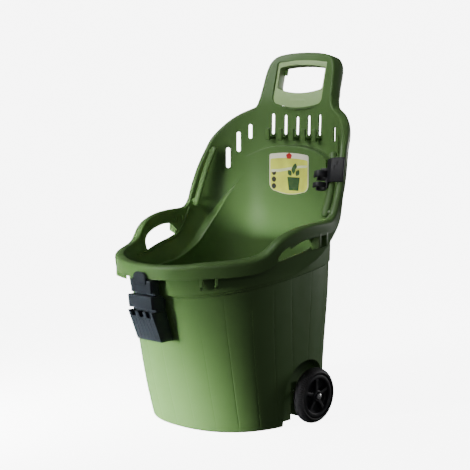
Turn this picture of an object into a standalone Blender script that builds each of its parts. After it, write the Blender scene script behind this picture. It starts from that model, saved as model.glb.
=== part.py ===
"""Upright garden cart: moulded tub on two wheels, with grip insert, a rail clip and a front tool holster.

Frame: metres, +Z up, the cart stands on Z = 0, front towards -Y, axle along X.
"""
import math

import bmesh
import bpy
import numpy as np
from mathutils import Matrix, Vector

# ---- driving dimensions (metres) -------------------------------------------------
WALL = 0.0036            # moulded wall
BAND = 0.0028            # how far the upper band stands out from the lower wall
GAP = 0.0004             # clearance between neighbouring pieces
LIP_OUT = ((0.377, 0.0225), (0.400, 0.0240), (0.430, 0.0225), (0.455, 0.0185), (0.470, 0.0165),
           (0.600, 0.0165), (0.660, 0.0200), (0.735, 0.0290), (0.800, 0.0350))
LIP_DROP = ((0.377, 0.0240), (0.400, 0.0290), (0.430, 0.0290), (0.458, 0.0240), (0.500, 0.0075),
            (0.850, 0.0075))

WHEEL_R = 0.0635
WHEEL_W = 0.028
WHEEL_X = 0.2000         # centre plane of a wheel
AXLE_Y = 0.066
AXLE_Z = WHEEL_R
AXLE_R = 0.0045
WELL_R = 0.079
WELL_X = 0.1465          # inner face of the wheel well

RAIL_IN = 0.0170         # rail axis inside the wing edge
RAIL_BACK = 0.0056
RAIL_R = 0.0058
CLIP_Z = 0.571           # height of the clip's middle on the wing edge

HOOK_X = (-0.074, -0.037, 0.0, 0.037, 0.074)
HOOK_SLOT_TOP = (0.693, 0.690, 0.687, 0.690, 0.693)
HOLSTER_X = (-0.0320, 0.0440)
HANDLE_LEAN = 0.245      # backward lean of the handle, per metre of height
LEAN_START = 0.715

# side view of the top edge: (y, z) from the front of the arch to the top of the wing
ARCH = [(-0.221, 0.3850), (-0.190, 0.3885), (-0.158, 0.3915), (-0.128, 0.3960), (-0.108, 0.4030),
        (-0.092, 0.4155), (-0.078, 0.4290), (-0.060, 0.4400), (-0.036, 0.4485), (-0.005, 0.4550),
        (0.025, 0.4580), (0.052, 0.4590), (0.072, 0.4612), (0.084, 0.4680), (0.0925, 0.4790),
        (0.0985, 0.4930), (0.106, 0.5130), (0.116, 0.5400), (0.1265, 0.5680), (0.138, 0.5970),
        (0.151, 0.6260)]
# front view of the top edge: (x, z) from the shoulder to the middle of the handle
SHOULDER = [(0.1900, 0.6520), (0.1740, 0.6730), (0.1540, 0.6890), (0.1330, 0.6995), (0.1205, 0.7055),
            (0.1140, 0.7150), (0.1095, 0.7310), (0.1060, 0.7580), (0.1035, 0.7840), (0.0995, 0.8055),
            (0.0920, 0.8200), (0.0800, 0.8290), (0.0620, 0.8335), (0.0410, 0.8360), (0.0200, 0.8372),
            (0.0, 0.8376)]
FRONT_X = (0.0, 0.028, 0.055, 0.081, 0.104)


def wipe_scene():
    """Remove every object so the design starts from nothing."""
    for item in list(bpy.data.objects):
        bpy.data.objects.remove(item, do_unlink=True)


def new_collection(name):
    """A collection linked to the scene."""
    group = bpy.data.collections.new(name)
    bpy.context.scene.collection.children.link(group)
    return group


PARTS = None
CUTTERS = None


def material(name, colour, rough, metal=0.0):
    """A plain Principled material."""
    mat = bpy.data.materials.get(name) or bpy.data.materials.new(name)
    mat.use_nodes = True
    shader = mat.node_tree.nodes["Principled BSDF"]
    shader.inputs["Base Color"].default_value = (*colour, 1.0)
    shader.inputs["Roughness"].default_value = rough
    shader.inputs["Metallic"].default_value = metal
    return mat


def settle(name, bm, group=None, mat=None):
    """Turn a bmesh into an object with welded points and its normals facing out."""
    bmesh.ops.remove_doubles(bm, verts=bm.verts, dist=1e-6)
    bmesh.ops.recalc_face_normals(bm, faces=bm.faces)
    mesh = bpy.data.meshes.new(name)
    bm.to_mesh(mesh)
    bm.free()
    obj = bpy.data.objects.new(name, mesh)
    (group or CUTTERS).objects.link(obj)
    if mat:
        mesh.materials.append(mat)
    return obj


def add(name, verts, faces, group=None, mat=None):
    """Make an object lofted between unlike sections from its points and faces."""
    bm = bmesh.new()
    points = [bm.verts.new(v) for v in verts]
    for f in faces:
        bm.faces.new([points[k] for k in f])
    return settle(name, bm, group, mat)


def prism(name, outline, depth, frame, group=None, mat=None):
    """Extrude a flat outline (u, v) by depth along w; frame = (origin, u axis, v axis, w axis)."""
    origin, ax_u, ax_v, ax_w = [Vector(a) for a in frame]
    bm = bmesh.new()
    face = bm.faces.new([bm.verts.new(origin + ax_u * u + ax_v * v + ax_w * depth[0]) for u, v in outline])
    grown = bmesh.ops.extrude_face_region(bm, geom=[face], use_keep_orig=True)["geom"]
    moved = [g for g in grown if isinstance(g, bmesh.types.BMVert)]
    bmesh.ops.translate(bm, verts=moved, vec=ax_w * (depth[1] - depth[0]))
    return settle(name, bm, group, mat)


def box(name, low, high, group=None, mat=None):
    """Axis-aligned box between two corners."""
    size = [abs(b - a) for a, b in zip(low, high)]
    middle = [(a + b) / 2 for a, b in zip(low, high)]
    bm = bmesh.new()
    bmesh.ops.create_cube(bm, size=1.0, matrix=Matrix.Translation(middle) @ Matrix.Diagonal((*size, 1.0)))
    return settle(name, bm, group, mat)


def round_rect(half_w, half_h, radius, steps=4):
    """Outline of a rounded rectangle."""
    pts = []
    for cx, cy, a0 in ((1, 1, 0), (-1, 1, 90), (-1, -1, 180), (1, -1, 270)):
        for i in range(steps + 1):
            a = math.radians(a0 + 90.0 * i / steps)
            pts.append((cx * (half_w - radius) + radius * math.cos(a),
                        cy * (half_h - radius) + radius * math.sin(a)))
    return pts


def circle(radius, steps, centre=(0.0, 0.0), start=0.0):
    """Outline of a regular polygon standing for a circle."""
    return [(centre[0] + radius * math.cos(math.radians(start) + 2 * math.pi * i / steps),
             centre[1] + radius * math.sin(math.radians(start) + 2 * math.pi * i / steps))
            for i in range(steps)]


def boolean(target, tool, operation):
    """Apply an exact Boolean of tool on target and drop the tool from the target's modifiers."""
    tool.hide_render = True
    tool.display_type = "WIRE"
    mod = target.modifiers.new(operation.lower(), "BOOLEAN")
    mod.operation = operation
    mod.solver = "EXACT"
    mod.object = tool
    graph = bpy.context.evaluated_depsgraph_get()
    mesh = bpy.data.meshes.new_from_object(target.evaluated_get(graph))
    target.modifiers.clear()
    target.data = mesh


def lathe(name, profile, steps, centre, group=None, mat=None):
    """Turn a closed (radius, along) profile about an axis along X through centre."""
    bm = bmesh.new()
    loop = [bm.verts.new((along, 0.0, radius)) for radius, along in profile]
    for first, second in zip(loop, loop[1:] + loop[:1]):
        if first.co.z > 0 or second.co.z > 0:      # no wall along the axis itself
            bm.edges.new((first, second))
    obj = settle(name, bm, group, mat)
    turn = obj.modifiers.new("turn", "SCREW")
    turn.axis = "X"
    turn.angle = 2 * math.pi
    turn.steps = turn.render_steps = steps
    turn.use_merge_vertices = True
    turn.merge_threshold = 0.00001
    graph = bpy.context.evaluated_depsgraph_get()
    mesh = bpy.data.meshes.new_from_object(obj.evaluated_get(graph))
    obj.modifiers.clear()
    bm = bmesh.new()
    bm.from_mesh(mesh)
    bmesh.ops.translate(bm, verts=bm.verts, vec=centre)
    bmesh.ops.remove_doubles(bm, verts=bm.verts, dist=1e-6)
    bmesh.ops.recalc_face_normals(bm, faces=bm.faces)
    bm.to_mesh(mesh)
    bm.free()
    obj.data = mesh
    return obj


# ---- the tub shell ---------------------------------------------------------------
# horizontal sections of the inner face: z, half width, y of the widest place, front y, back y,
# roundness of the front, squareness of the back
LOWER = np.array([
    [0.000, 0.1750, 0.023, -0.1645, 0.2010, 2.37, 2.6],
    [0.080, 0.1785, 0.020, -0.1870, 0.2030, 2.40, 2.7],
    [0.170, 0.1805, 0.016, -0.2085, 0.2050, 2.38, 2.9],
    [0.330, 0.1825, 0.010, -0.2425, 0.2070, 2.14, 3.4],
    [0.620, 0.1890, 0.010, -0.2500, 0.2070, 2.12, 3.4]])
UPPER = np.array([
    [0.300, 0.1850, 0.008, -0.2450, 0.2235, 2.12, 2.9],
    [0.345, 0.1895, 0.010, -0.2520, 0.2245, 2.15, 2.9],
    [0.380, 0.2030, 0.018, -0.2590, 0.2255, 2.20, 2.8],
    [0.420, 0.2155, 0.032, -0.2620, 0.2270, 2.25, 2.6],
    [0.460, 0.2230, 0.050, -0.2640, 0.2285, 2.30, 2.5],
    [0.500, 0.2255, 0.068, -0.2640, 0.2305, 2.30, 2.4],
    [0.550, 0.2235, 0.080, -0.2640, 0.2325, 2.30, 2.4],
    [0.600, 0.2190, 0.080, -0.2640, 0.2342, 2.30, 2.4],
    [0.630, 0.2170, 0.080, -0.2640, 0.2350, 2.30, 2.4],
    [0.700, 0.2150, 0.080, -0.2640, 0.2365, 2.30, 2.4],
    [0.850, 0.2150, 0.080, -0.2640, 0.2365, 2.30, 2.4]])


def lean(z):
    """Backward shift of the handle at a height."""
    t = max(0.0, z - LEAN_START)
    return HANDLE_LEAN * (t - 0.012 * (1 - math.exp(-t / 0.012)))


def section(table, z, t, grow=0.0):
    """Point of a section at height z; t runs -90 (front) to 90 degrees (back)."""
    row = [float(np.interp(z, table[:, 0], table[:, k])) for k in range(1, 7)]
    half, mid, front, back, nf, nb = row
    half += grow
    c = max(0.0, math.cos(math.radians(t)))
    s = math.sin(math.radians(t))
    if s < 0:
        x = half * c ** (2 / nf)
        y = mid - (mid - front + grow) * (-s) ** (2 / nf)
    else:
        x = half * c ** (2 / nb)
        y = mid + (back - mid + grow) * s ** (2 / nb)
    return np.array([x, y + lean(z), z])


def angle_of(x=None, y=None, z=0.5):
    """The t whose upper section passes a given x (back), x (front, negative) or y."""
    best = None
    for t in np.linspace(-90, 90, 3601):
        p = section(UPPER, z, t)
        if y is not None:
            err = abs(p[1] - lean(z) - y)
        else:
            err = abs(p[0] - abs(x)) + (10 if (t > 0) != (x > 0) else 0)
        if best is None or err < best[0]:
            best = (err, t)
    return best[1]


def columns():
    """The (t, top z) pairs of one half of the tub, front to back."""
    cols = []
    for x in FRONT_X:
        z = 0.3770 + 0.0080 * (x / 0.124) ** 2
        t = -90.0 if x == 0 else angle_of(x=-x, z=z)
        cols.append((t, z))
    cols += [(angle_of(y=y, z=z), z) for y, z in ARCH]
    for x, z in SHOULDER:
        cols.append((90.0 if x == 0 else angle_of(x=x, z=z), z))
    return cols


def ledge_inner(t):
    """Height of the inner ledge that rises into the arch on the back panel."""
    p = section(LOWER, 0.4, t)
    if p[0] < 0.128 and p[1] > 0.1:
        return 0.618 - 0.030 * (p[0] / 0.128) ** 2.6
    ys = [-0.25, -0.04, 0.0, 0.025, 0.05, 0.08, 0.10, 0.12, 0.14, 0.155, 0.175, 0.190, 0.2045]
    zs = [0.309, 0.3405, 0.3460, 0.354, 0.3655, 0.3835, 0.405, 0.430, 0.458, 0.484, 0.520, 0.556, 0.588]
    return float(np.interp(p[1], ys, zs))


def band_line(t):
    """Height of the step line seen round the outside."""
    p = section(LOWER, 0.4, t)
    return 0.3405 + 0.13 * (p[1] - 0.008) - 0.0025


def rings(t, top):
    """Rows of one column: inner floor up to the lip, then from under the lip down the outside."""
    step = 0.0035
    z_in = ledge_inner(t)
    z_band = min(band_line(t), z_in - 0.002)
    z_up = max(z_in - step - 0.0040, z_band + 0.004)
    inner = [section(LOWER, z, t, -inset) for z, inset in ((0.0040, 0.0120), (0.0050, 0.0040), (0.0100, 0.0004))]
    inner += [section(LOWER, 0.010 + (z_in - step - 0.010) * k, t) for k in (0.24, 0.50, 1.0)]
    inner.append(section(UPPER, z_in, t))
    inner += [section(UPPER, z_in + (top - z_in) * k, t) for k in (0.20, 0.42, 0.64, 0.84, 1.0)]
    low = z_up + step
    outer = [section(UPPER, low + (top - 0.0002 - low) * k, t, WALL) for k in (1.0, 0.84, 0.64, 0.42, 0.20, 0.0)]
    outer.append(section(LOWER, z_up, t, WALL + BAND))
    outer.append(section(LOWER, z_band + 0.0015, t, WALL + BAND))
    outer += [section(LOWER, z_band * k, t, WALL) for k in (1.0, 0.50, 0.24)]
    outer += [section(LOWER, z, t, WALL - inset) for z, inset in ((0.0030, 0.0), (0.0008, 0.0010), (0.0, 0.0036))]
    return inner, outer


def tub_shell():
    """The one-piece shell: floor, walls, rolled rim, wings, back panel and handle hoop."""
    cols = columns()
    built = [rings(t, z) for t, z in cols]
    n_half = len(cols)
    edge = np.array([b[0][-1] for b in built])
    below = np.array([b[0][-2] for b in built])
    lip_rows = []
    for i in range(n_half):
        lo, hi = max(i - 1, 0), min(i + 1, n_half - 1)
        tangent = edge[hi] - edge[lo]
        if i == 0:
            tangent = np.array([1.0, 0.0, 0.0])
        if i == n_half - 1:
            tangent = np.array([-1.0, 0.0, 0.0])
        tangent /= np.linalg.norm(tangent)
        up = edge[i] - below[i]
        if i == 0 or i == n_half - 1:
            up[0] = 0.0
        out = np.cross(tangent, up)
        out /= np.linalg.norm(out)
        beyond = np.cross(out, tangent)
        reach = float(np.interp(edge[i][2], *zip(*LIP_OUT)))
        drop = float(np.interp(edge[i][2], *zip(*LIP_DROP)))
        w = WALL

        def at(a, b):
            return edge[i] + out * a + beyond * b
        lip_rows.append([at(0.0012, 0.0024), at(0.0042, 0.0040), at(reach - 0.0045, 0.0036),
                         at(reach - 0.0010, 0.0008), at(reach + 0.0004, -0.0040), at(reach + 0.0022, -drop),
                         at(reach + 0.0022 - w, -drop), at(reach - w, -0.0048), at(reach - w - 0.0022, -0.0012),
                         at(w + 0.0030, -0.0002)])
    rows = []
    for i in range(n_half):
        rows.append(built[i][0] + lip_rows[i] + built[i][1])
    m = len(rows[0])
    verts = []
    order = list(range(n_half)) + [-(i + 1) for i in range(n_half - 2, 0, -1)]
    for k in order:
        if k >= 0:
            verts += [tuple(p) for p in rows[k]]
        else:
            verts += [(-p[0], p[1], p[2]) for p in rows[-k - 1]]
    count = len(order)
    faces = []
    for i in range(count):
        j = (i + 1) % count
        for k in range(m - 1):
            faces.append([i * m + k, j * m + k, j * m + k + 1, i * m + k + 1])
    faces.append([i * m for i in range(count)])
    faces.append([i * m + m - 1 for i in range(count)][::-1])
    return add("tub_body", verts, faces, PARTS)


def panel_frame(x, z):
    """Local frame on the inner face of the upper back panel or wing at a place x, z."""
    t = angle_of(x=max(abs(x), 1e-4), z=z)
    here = section(UPPER, z, t)
    along = section(UPPER, z, t - 1.0) - here
    along[2] = 0
    along /= np.linalg.norm(along)
    normal = np.array([-along[1], along[0], 0.0])
    if x < 0:
        here[0], along[0], normal[0] = -here[0], -along[0], -normal[0]
    return here, along, normal


def wing_edge(z):
    """Point on the front edge of the right wing at height z, with its frame (along, out, beyond)."""
    zs = [p[1] for p in ARCH[12:]] + [0.650]
    ys = [p[0] for p in ARCH[12:]] + [0.1630]

    def point(height):
        y = float(np.interp(height, zs, ys))
        return section(UPPER, height, angle_of(y=y, z=height))
    here = point(z)
    along = point(z + 0.022) - point(z - 0.022)
    along /= np.linalg.norm(along)
    t = angle_of(y=here[1], z=z)
    flat = section(UPPER, z, t + 2.0) - section(UPPER, z, t - 2.0)
    out = np.cross(flat, np.array([0.0, 0.0, 1.0]))
    out -= along * out.dot(along)
    out /= np.linalg.norm(out)
    if out[0] < 0:
        out = -out
    beyond = np.cross(out, along)
    if beyond[1] > 0:
        beyond = -beyond
    return here, along, out, beyond


def flip(obj, name, group=None, mat=None):
    """A copy of a cutter or part mirrored to the other side."""
    mesh = obj.data.copy()
    for v in mesh.vertices:
        v.co.x = -v.co.x
    mesh.flip_normals()
    twin = bpy.data.objects.new(name, mesh)
    (group or CUTTERS).objects.link(twin)
    if mat:
        mesh.materials.clear()
        mesh.materials.append(mat)
    return twin


def tube(name, path, radius, group=None):
    """A round rod along a list of points: a bevelled curve with filled caps, made a mesh."""
    curve = bpy.data.curves.new(name, "CURVE")
    curve.dimensions = "3D"
    curve.bevel_depth = radius
    curve.bevel_resolution = 2
    curve.use_fill_caps = True
    spline = curve.splines.new("POLY")
    spline.points.add(len(path) - 1)
    for point, place in zip(spline.points, path):
        point.co = (*place, 1.0)
    form = bpy.data.objects.new(name + "_curve", curve)
    CUTTERS.objects.link(form)
    graph = bpy.context.evaluated_depsgraph_get()
    mesh = bpy.data.meshes.new_from_object(form.evaluated_get(graph))
    bm = bmesh.new()
    bm.from_mesh(mesh)
    bpy.data.objects.remove(form, do_unlink=True)
    bmesh.ops.remove_doubles(bm, verts=bm.verts, dist=1e-5)
    return settle(name, bm, group)


# ---- handle frame and outlines ---------------------------------------------------
HANDLE_Z = 0.770
TILT = math.atan(HANDLE_LEAN)


def handle_frame():
    """Frame on the front face of the handle hoop: u right, v up the hoop, w backwards."""
    y = 0.2365 + lean(HANDLE_Z)
    up = (0.0, math.sin(TILT), math.cos(TILT))
    back = (0.0, math.cos(TILT), -math.sin(TILT))
    return ((0.0, y, HANDLE_Z), (1, 0, 0), up, back)


def grip_outline(grow=0.0):
    """Outer outline of the grip insert, arched at top and bottom."""
    half = 0.0785 + grow
    pts = []
    for i in range(7):
        u = -half + 2 * half * i / 6
        pts.append((u, -0.0640 - grow + 0.0090 * (u / half) ** 2 + (0.006 if i in (0, 6) else 0.0)))
    pts[0] = (-half, -0.0400)
    pts[6] = (half, -0.0400)
    pts.insert(1, (-half + 0.0055, -0.0500 - grow * 0.7))
    pts.insert(7, (half - 0.0055, -0.0500 - grow * 0.7))
    for i in range(7):
        u = half - 2 * half * i / 6
        pts.append((u, 0.0530 + grow - 0.0055 * (u / half) ** 2 - (0.002 if i in (0, 6) else 0.0)))
    return pts


def grip_opening():
    """Opening of the grip insert."""
    pts = []
    for i in range(7):
        u = -0.066 + 0.132 * i / 6
        pts.append((u, -0.0270 + 0.0075 * (u / 0.066) ** 2))
    pts += [(0.0705, -0.0120), (0.0715, 0.0345), (0.0675, 0.0385)]
    for i in range(1, 6):
        u = 0.0675 - 0.135 * i / 6
        pts.append((u, 0.0410 - 0.0025 * (u / 0.0675) ** 2))
    pts += [(-0.0675, 0.0385), (-0.0715, 0.0345), (-0.0705, -0.0120)]
    return pts


def build_tub(green):
    """Tub shell with its openings, hooks, fins, rails, axle tunnel and wheel wells."""
    tub = tub_shell()
    tub.data.materials.append(green)

    # wheel wells and axle tunnel: housing first, then the hollow
    reach = 0.1715
    outline = circle(WELL_R + WALL, 28, (AXLE_Y, AXLE_Z), 90)
    inside = prism("well_form", outline, (WELL_X - WALL, 0.30), ((0, 0, 0), (0, 1, 0), (0, 0, 1), (1, 0, 0)))
    skirt = box("well_foot", (WELL_X - WALL, AXLE_Y - WELL_R - WALL, 0.0002),
                (0.30, AXLE_Y + WELL_R + WALL, AXLE_Z))
    boolean(inside, skirt, "UNION")
    ground = box("well_ground", (-0.5, -0.5, -0.2), (0.5, 0.5, 0.0002))
    boolean(inside, ground, "DIFFERENCE")
    form = solid_base()
    boolean(inside, form, "INTERSECT")
    other = flip(inside, "well_form_left")
    hump = box("tunnel_form", (-reach, AXLE_Y - 0.022, 0.0002), (reach, AXLE_Y + 0.022, 0.0900))
    boolean(inside, other, "UNION")
    boolean(inside, hump, "UNION")
    boolean(tub, inside, "UNION")
    cut = prism("well_cut", circle(WELL_R, 28, (AXLE_Y, AXLE_Z), 90), (WELL_X, 0.30),
                ((0, 0, 0), (0, 1, 0), (0, 0, 1), (1, 0, 0)))
    low = box("well_cut_low", (WELL_X, AXLE_Y - WELL_R, -0.05), (0.30, AXLE_Y + WELL_R, AXLE_Z))
    boolean(cut, low, "UNION")
    left = flip(cut, "well_cut_left")
    tunnel = box("tunnel_cut", (-0.17, AXLE_Y - 0.0184, -0.05), (0.17, AXLE_Y + 0.0184, 0.0864))
    boolean(cut, left, "UNION")
    boolean(cut, tunnel, "UNION")
    boolean(tub, cut, "DIFFERENCE")
    for side in (1, -1):
        web = box("axle_web", (side * 0.128 - 0.003, AXLE_Y - 0.0195, 0.030),
                  (side * 0.128 + 0.003, AXLE_Y + 0.0195, 0.0875))
        hole = prism("axle_hole", circle(AXLE_R + GAP, 20, (AXLE_Y, AXLE_Z)),
                     (side * 0.128 - 0.01, side * 0.128 + 0.01),
                     ((0, 0, 0), (0, 1, 0), (0, 0, 1), (1, 0, 0)))
        boolean(web, hole, "DIFFERENCE")
        boolean(tub, web, "UNION")

    # side grip openings under the arched rim
    grip = [(-0.0830, 0.3745), (-0.0560, 0.3815), (-0.0280, 0.3885), (0.0060, 0.3960), (0.0320, 0.4060),
            (0.0340, 0.4150), (0.0250, 0.4270), (0.0020, 0.4290), (-0.0280, 0.4250), (-0.0560, 0.4160),
            (-0.0750, 0.4060), (-0.0830, 0.3950)]
    for side in (1, -1):
        hole = prism("side_grip_cut", grip, (0.185, 0.2325), ((0, 0, 0), (0, 1, 0), (0, 0, 1), (side, 0, 0)))
        boolean(tub, hole, "DIFFERENCE")

    # slots through the panel and the wings
    for x, top in zip(HOOK_X, HOOK_SLOT_TOP):
        here, along, normal = panel_frame(x, 0.665)
        frame = (here, along, (0, 0, 1), normal)
        outline = [(u, v + (top + 0.642) / 2 - 0.665) for u, v in round_rect(0.0045, (top - 0.642) / 2, 0.0043, 3)]
        boolean(tub, prism("hook_slot", outline, (-0.02, 0.02), frame), "DIFFERENCE")
    for x, low, high in ((0.134, 0.630, 0.666), (0.160, 0.5975, 0.6470), (0.181, 0.5570, 0.6080)):
        here, along, normal = panel_frame(x, (low + high) / 2)
        frame = (here, along, (0, 0, 1), normal)
        slot = prism("wing_slot", round_rect(0.005, (high - low) / 2, 0.0048, 3), (-0.02, 0.014), frame)
        boolean(tub, slot, "DIFFERENCE")
        boolean(tub, flip(slot, "wing_slot_left"), "DIFFERENCE")

    # tool hooks below the slots
    hook = [(0.0012, 0.6290), (-0.0180, 0.6290), (-0.0208, 0.6314), (-0.0214, 0.6510), (-0.0200, 0.6550),
            (-0.0172, 0.6550), (-0.0154, 0.6520), (-0.0150, 0.6380), (-0.0136, 0.6366), (0.0012, 0.6366)]
    for x in HOOK_X:
        y = section(UPPER, 0.64, angle_of(x=max(abs(x), 1e-4), z=0.64))[1]
        piece = prism("hook_form", hook, (x - 0.0044, x + 0.0044), ((0, y, 0), (0, 1, 0), (0, 0, 1), (1, 0, 0)))
        boolean(tub, piece, "UNION")

    # handle hoop: collar behind the face, then the opening for the insert
    frame = handle_frame()
    collar = prism("grip_collar", grip_outline(0.0036), (0.0005, 0.0215), frame)
    boolean(tub, collar, "UNION")
    boolean(tub, prism("grip_cut", grip_outline(GAP), (-0.02, 0.035), frame), "DIFFERENCE")

    # tool-socket fins under the rim
    for y, z0 in ((-0.211, 0.360), (-0.189, 0.363), (0.0375, 0.4320), (0.0600, 0.4330)):
        front = y < 0
        t = angle_of(y=y, z=0.37 if front else 0.42)
        here = section(UPPER, 0.365 if front else 0.42, t, WALL)
        flat = section(UPPER, here[2], t + 1) - section(UPPER, here[2], t - 1)
        out = np.cross(flat, np.array([0.0, 0.0, 1.0]))
        out /= np.linalg.norm(out)
        side_dir = np.cross(np.array([0.0, 0.0, 1.0]), out)
        fin = [(-0.0022, z0 - 0.0280), (0.0040, z0 - 0.0240), (0.0095, z0 - 0.0120), (0.0182, z0 - 0.0060),
               (0.0190, z0 + 0.0070), (-0.0022, z0 + 0.0110)]
        fin = [(u, v - here[2]) for u, v in fin]
        piece = prism("fin_form", fin, (-0.0022, 0.0022), (here, out, (0, 0, 1), side_dir))
        boolean(tub, piece, "UNION")
        boolean(tub, flip(piece, "fin_form_left"), "UNION")

    # rails inside the wings, each on two feet
    path = []
    for z in (0.478, 0.500, 0.528, 0.556, 0.584, 0.606):
        here, along, out, beyond = wing_edge(z)
        path.append(here - out * RAIL_IN - beyond * RAIL_BACK)
    rail = tube("rail_form", path, RAIL_R)
    for z in (0.4825, 0.602):
        here, along, out, beyond = wing_edge(z)
        foot = prism("rail_foot", [(-RAIL_IN - 0.003, -0.0092), (0.0012, -0.0092), (0.0012, -0.0020),
                                   (-RAIL_IN - 0.003, -0.0020)],
                     (-0.004, 0.004), (here, out, beyond, along))
        boolean(rail, foot, "UNION")
    boolean(tub, rail, "UNION")
    boolean(tub, flip(rail, "rail_form_left"), "UNION")
    return tub


def solid_base():
    """The outside form of the lower tub as a closed block, for trimming the wheel wells."""
    verts = []
    heights = (0.0, 0.0015, 0.006, 0.08, 0.2)
    insets = (0.0042, 0.0014, 0.0005, 0.0005, 0.0005)
    angles = [-90 + 6 * i for i in range(31)]
    ring = len(angles) * 2 - 2
    for z, inset in zip(heights, insets):
        half = [section(LOWER, z, t, WALL - inset) for t in angles]
        verts += [tuple(p) for p in half]
        verts += [(-p[0], p[1], p[2]) for p in half[-2:0:-1]]
    faces = []
    for i in range(len(heights) - 1):
        for k in range(ring):
            j = (k + 1) % ring
            faces.append([i * ring + k, i * ring + j, (i + 1) * ring + j, (i + 1) * ring + k])
    faces.append(list(range(ring))[::-1])
    faces.append([(len(heights) - 1) * ring + k for k in range(ring)])
    return add("base_form", verts, faces)


def build_insert(light):
    """Light grip insert filling the handle hoop."""
    frame = handle_frame()
    body = prism("handle_insert", grip_outline(), (-0.0016, 0.0215), frame, PARTS, light)
    boolean(body, prism("insert_hole", grip_opening(), (-0.02, 0.04), frame), "DIFFERENCE")
    relief = prism("insert_relief", [(u, v - 0.0455) for u, v in round_rect(0.030, 0.0052, 0.005, 3)],
                   (-0.004, -0.0009), frame)
    boolean(body, relief, "DIFFERENCE")
    return body


def build_label(paper):
    """Thin printed label on the recessed back panel."""
    verts, faces = [], []
    count = 15
    for layer in (GAP, GAP + 0.0008):
        for i in range(count):
            x = -0.0625 + 0.125 * i / (count - 1)
            e = abs(x) / 0.0625
            low = 0.4990 + 0.0120 * max(0.0, (e - 0.55) / 0.45) ** 2.2
            high = 0.6000 - 0.0075 * e ** 2.0
            c = 0.0 if abs(x) < 1e-9 else x
            for k in range(4):
                z = low + (high - low) * k / 3
                t = math.degrees(math.acos(min(1.0, (abs(c) / float(np.interp(z, LOWER[:, 0], LOWER[:, 1])))
                                               ** (float(np.interp(z, LOWER[:, 0], LOWER[:, 6])) / 2))))
                p = section(LOWER, z, t, -layer)
                verts.append((c, p[1], z))
    m = 4
    size = count * m
    for i in range(count - 1):
        for k in range(m - 1):
            a = i * m + k
            faces.append([a, a + m, a + m + 1, a + 1])
            faces.append([size + a, size + a + 1, size + a + m + 1, size + a + m])
    rim = [i * m for i in range(count)] + [(count - 1) * m + k for k in range(1, m)]
    rim += [i * m + m - 1 for i in range(count - 2, -1, -1)] + [k for k in range(m - 2, 0, -1)]
    for i, a in enumerate(rim):
        b = rim[(i + 1) % len(rim)]
        faces.append([a, b, size + b, size + a])
    return add("label", verts, faces, PARTS, paper)


def build_clip(black):
    """Spring clip sleeved on the right wing's rail, with two open jaws for a long handle."""
    here, along, out, beyond = wing_edge(CLIP_Z)
    frame = (here, out, beyond, along)
    inner = -RAIL_IN - RAIL_R - 4 * GAP
    back = -RAIL_BACK - RAIL_R - 4 * GAP
    sleeve = [(inner - 0.0026, back - 0.0024), (-RAIL_IN, back - 0.0024), (-RAIL_IN, back),
              (inner + 0.0006, back), (inner, back + 0.0010), (inner, 0.0060), (0.0126, 0.0060),
              (0.0158, 0.0034), (0.0172, 0.0050), (0.0138, 0.0080), (inner - 0.0012, 0.0084),
               (inner - 0.0026, 0.0070)]
    body = prism("rail_clip", sleeve, (-0.0290, 0.0290), frame, PARTS, black)
    centre = inner - 0.0175
    for low, high in ((-0.0140, -0.0010), (-0.0400, -0.0270)):
        jaw = []
        for radius, turn in ((0.0167, 1), (0.0129, -1)):
            for k in range(13):
                a = math.radians(turn * (-140 + 280 * k / 12))
                jaw.append((centre + radius * math.cos(a), -0.0040 + radius * math.sin(a)))
        ring = prism("jaw_form", jaw, (low, high), frame)
        if low < -0.03:
            post = prism("jaw_post", [(inner - 0.0040, -0.0110), (inner - 0.0004, -0.0110),
                                      (inner - 0.0004, 0.0050), (inner - 0.0040, 0.0050)], (low, -0.0200), frame)
            boolean(ring, post, "UNION")
        boolean(body, ring, "UNION")
    pivot(body, here)
    return body


def pivot(obj, place):
    """Move an object's origin to a place without moving its shape."""
    obj.data.transform(Matrix.Translation(-Vector(place)))
    obj.location = Vector(place)


def build_holster(black):
    """Stepped tool holster hung on the front rim."""
    side_view = [(-0.2780, 0.3480), (-0.2850, 0.3470), (-0.2825, 0.3190), (-0.2720, 0.3190), (-0.2720, 0.3140),
                 (-0.2875, 0.3140), (-0.2840, 0.2845), (-0.2720, 0.2845), (-0.2720, 0.2790), (-0.2865, 0.2790),
                 (-0.2580, 0.2110), (-0.2220, 0.2110), (-0.2420, 0.3020), (-0.2560, 0.3040), (-0.2612, 0.3470)]
    frame = ((0, 0, 0), (0, 1, 0), (0, 0, 1), (1, 0, 0))
    body = prism("front_holster", side_view, (HOLSTER_X[0], HOLSTER_X[1]), frame, PARTS, black)
    pocket = [(-0.2835, 0.2815), (-0.2552, 0.2140), (-0.2265, 0.2140), (-0.2420, 0.2740), (-0.2560, 0.2765),
              (-0.2700, 0.2765), (-0.2700, 0.2815)]
    boolean(body, prism("pocket_cut", pocket, (HOLSTER_X[0] + 0.003, HOLSTER_X[1] - 0.003), frame), "DIFFERENCE")
    middle = (HOLSTER_X[0] + HOLSTER_X[1]) / 2
    for shift in (-0.0240, 0.0, 0.0240):
        boolean(body, box("comb_cut", (middle + shift - 0.0080, -0.3100, 0.2660),
                          (middle + shift + 0.0080, -0.2730, 0.2830)), "DIFFERENCE")
    tongue = [(-0.0190, 0.3385), (0.0190, 0.3385), (0.0190, 0.3570), (0.0150, 0.3625), (0.0060, 0.3650),
              (-0.0060, 0.3650), (-0.0150, 0.3625), (-0.0190, 0.3570)]
    piece = prism("tongue_form", tongue, (0.2815, 0.2885), ((middle, 0, 0), (1, 0, 0), (0, 0, 1), (0, -1, 0)))
    boolean(body, piece, "UNION")
    return body


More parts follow.
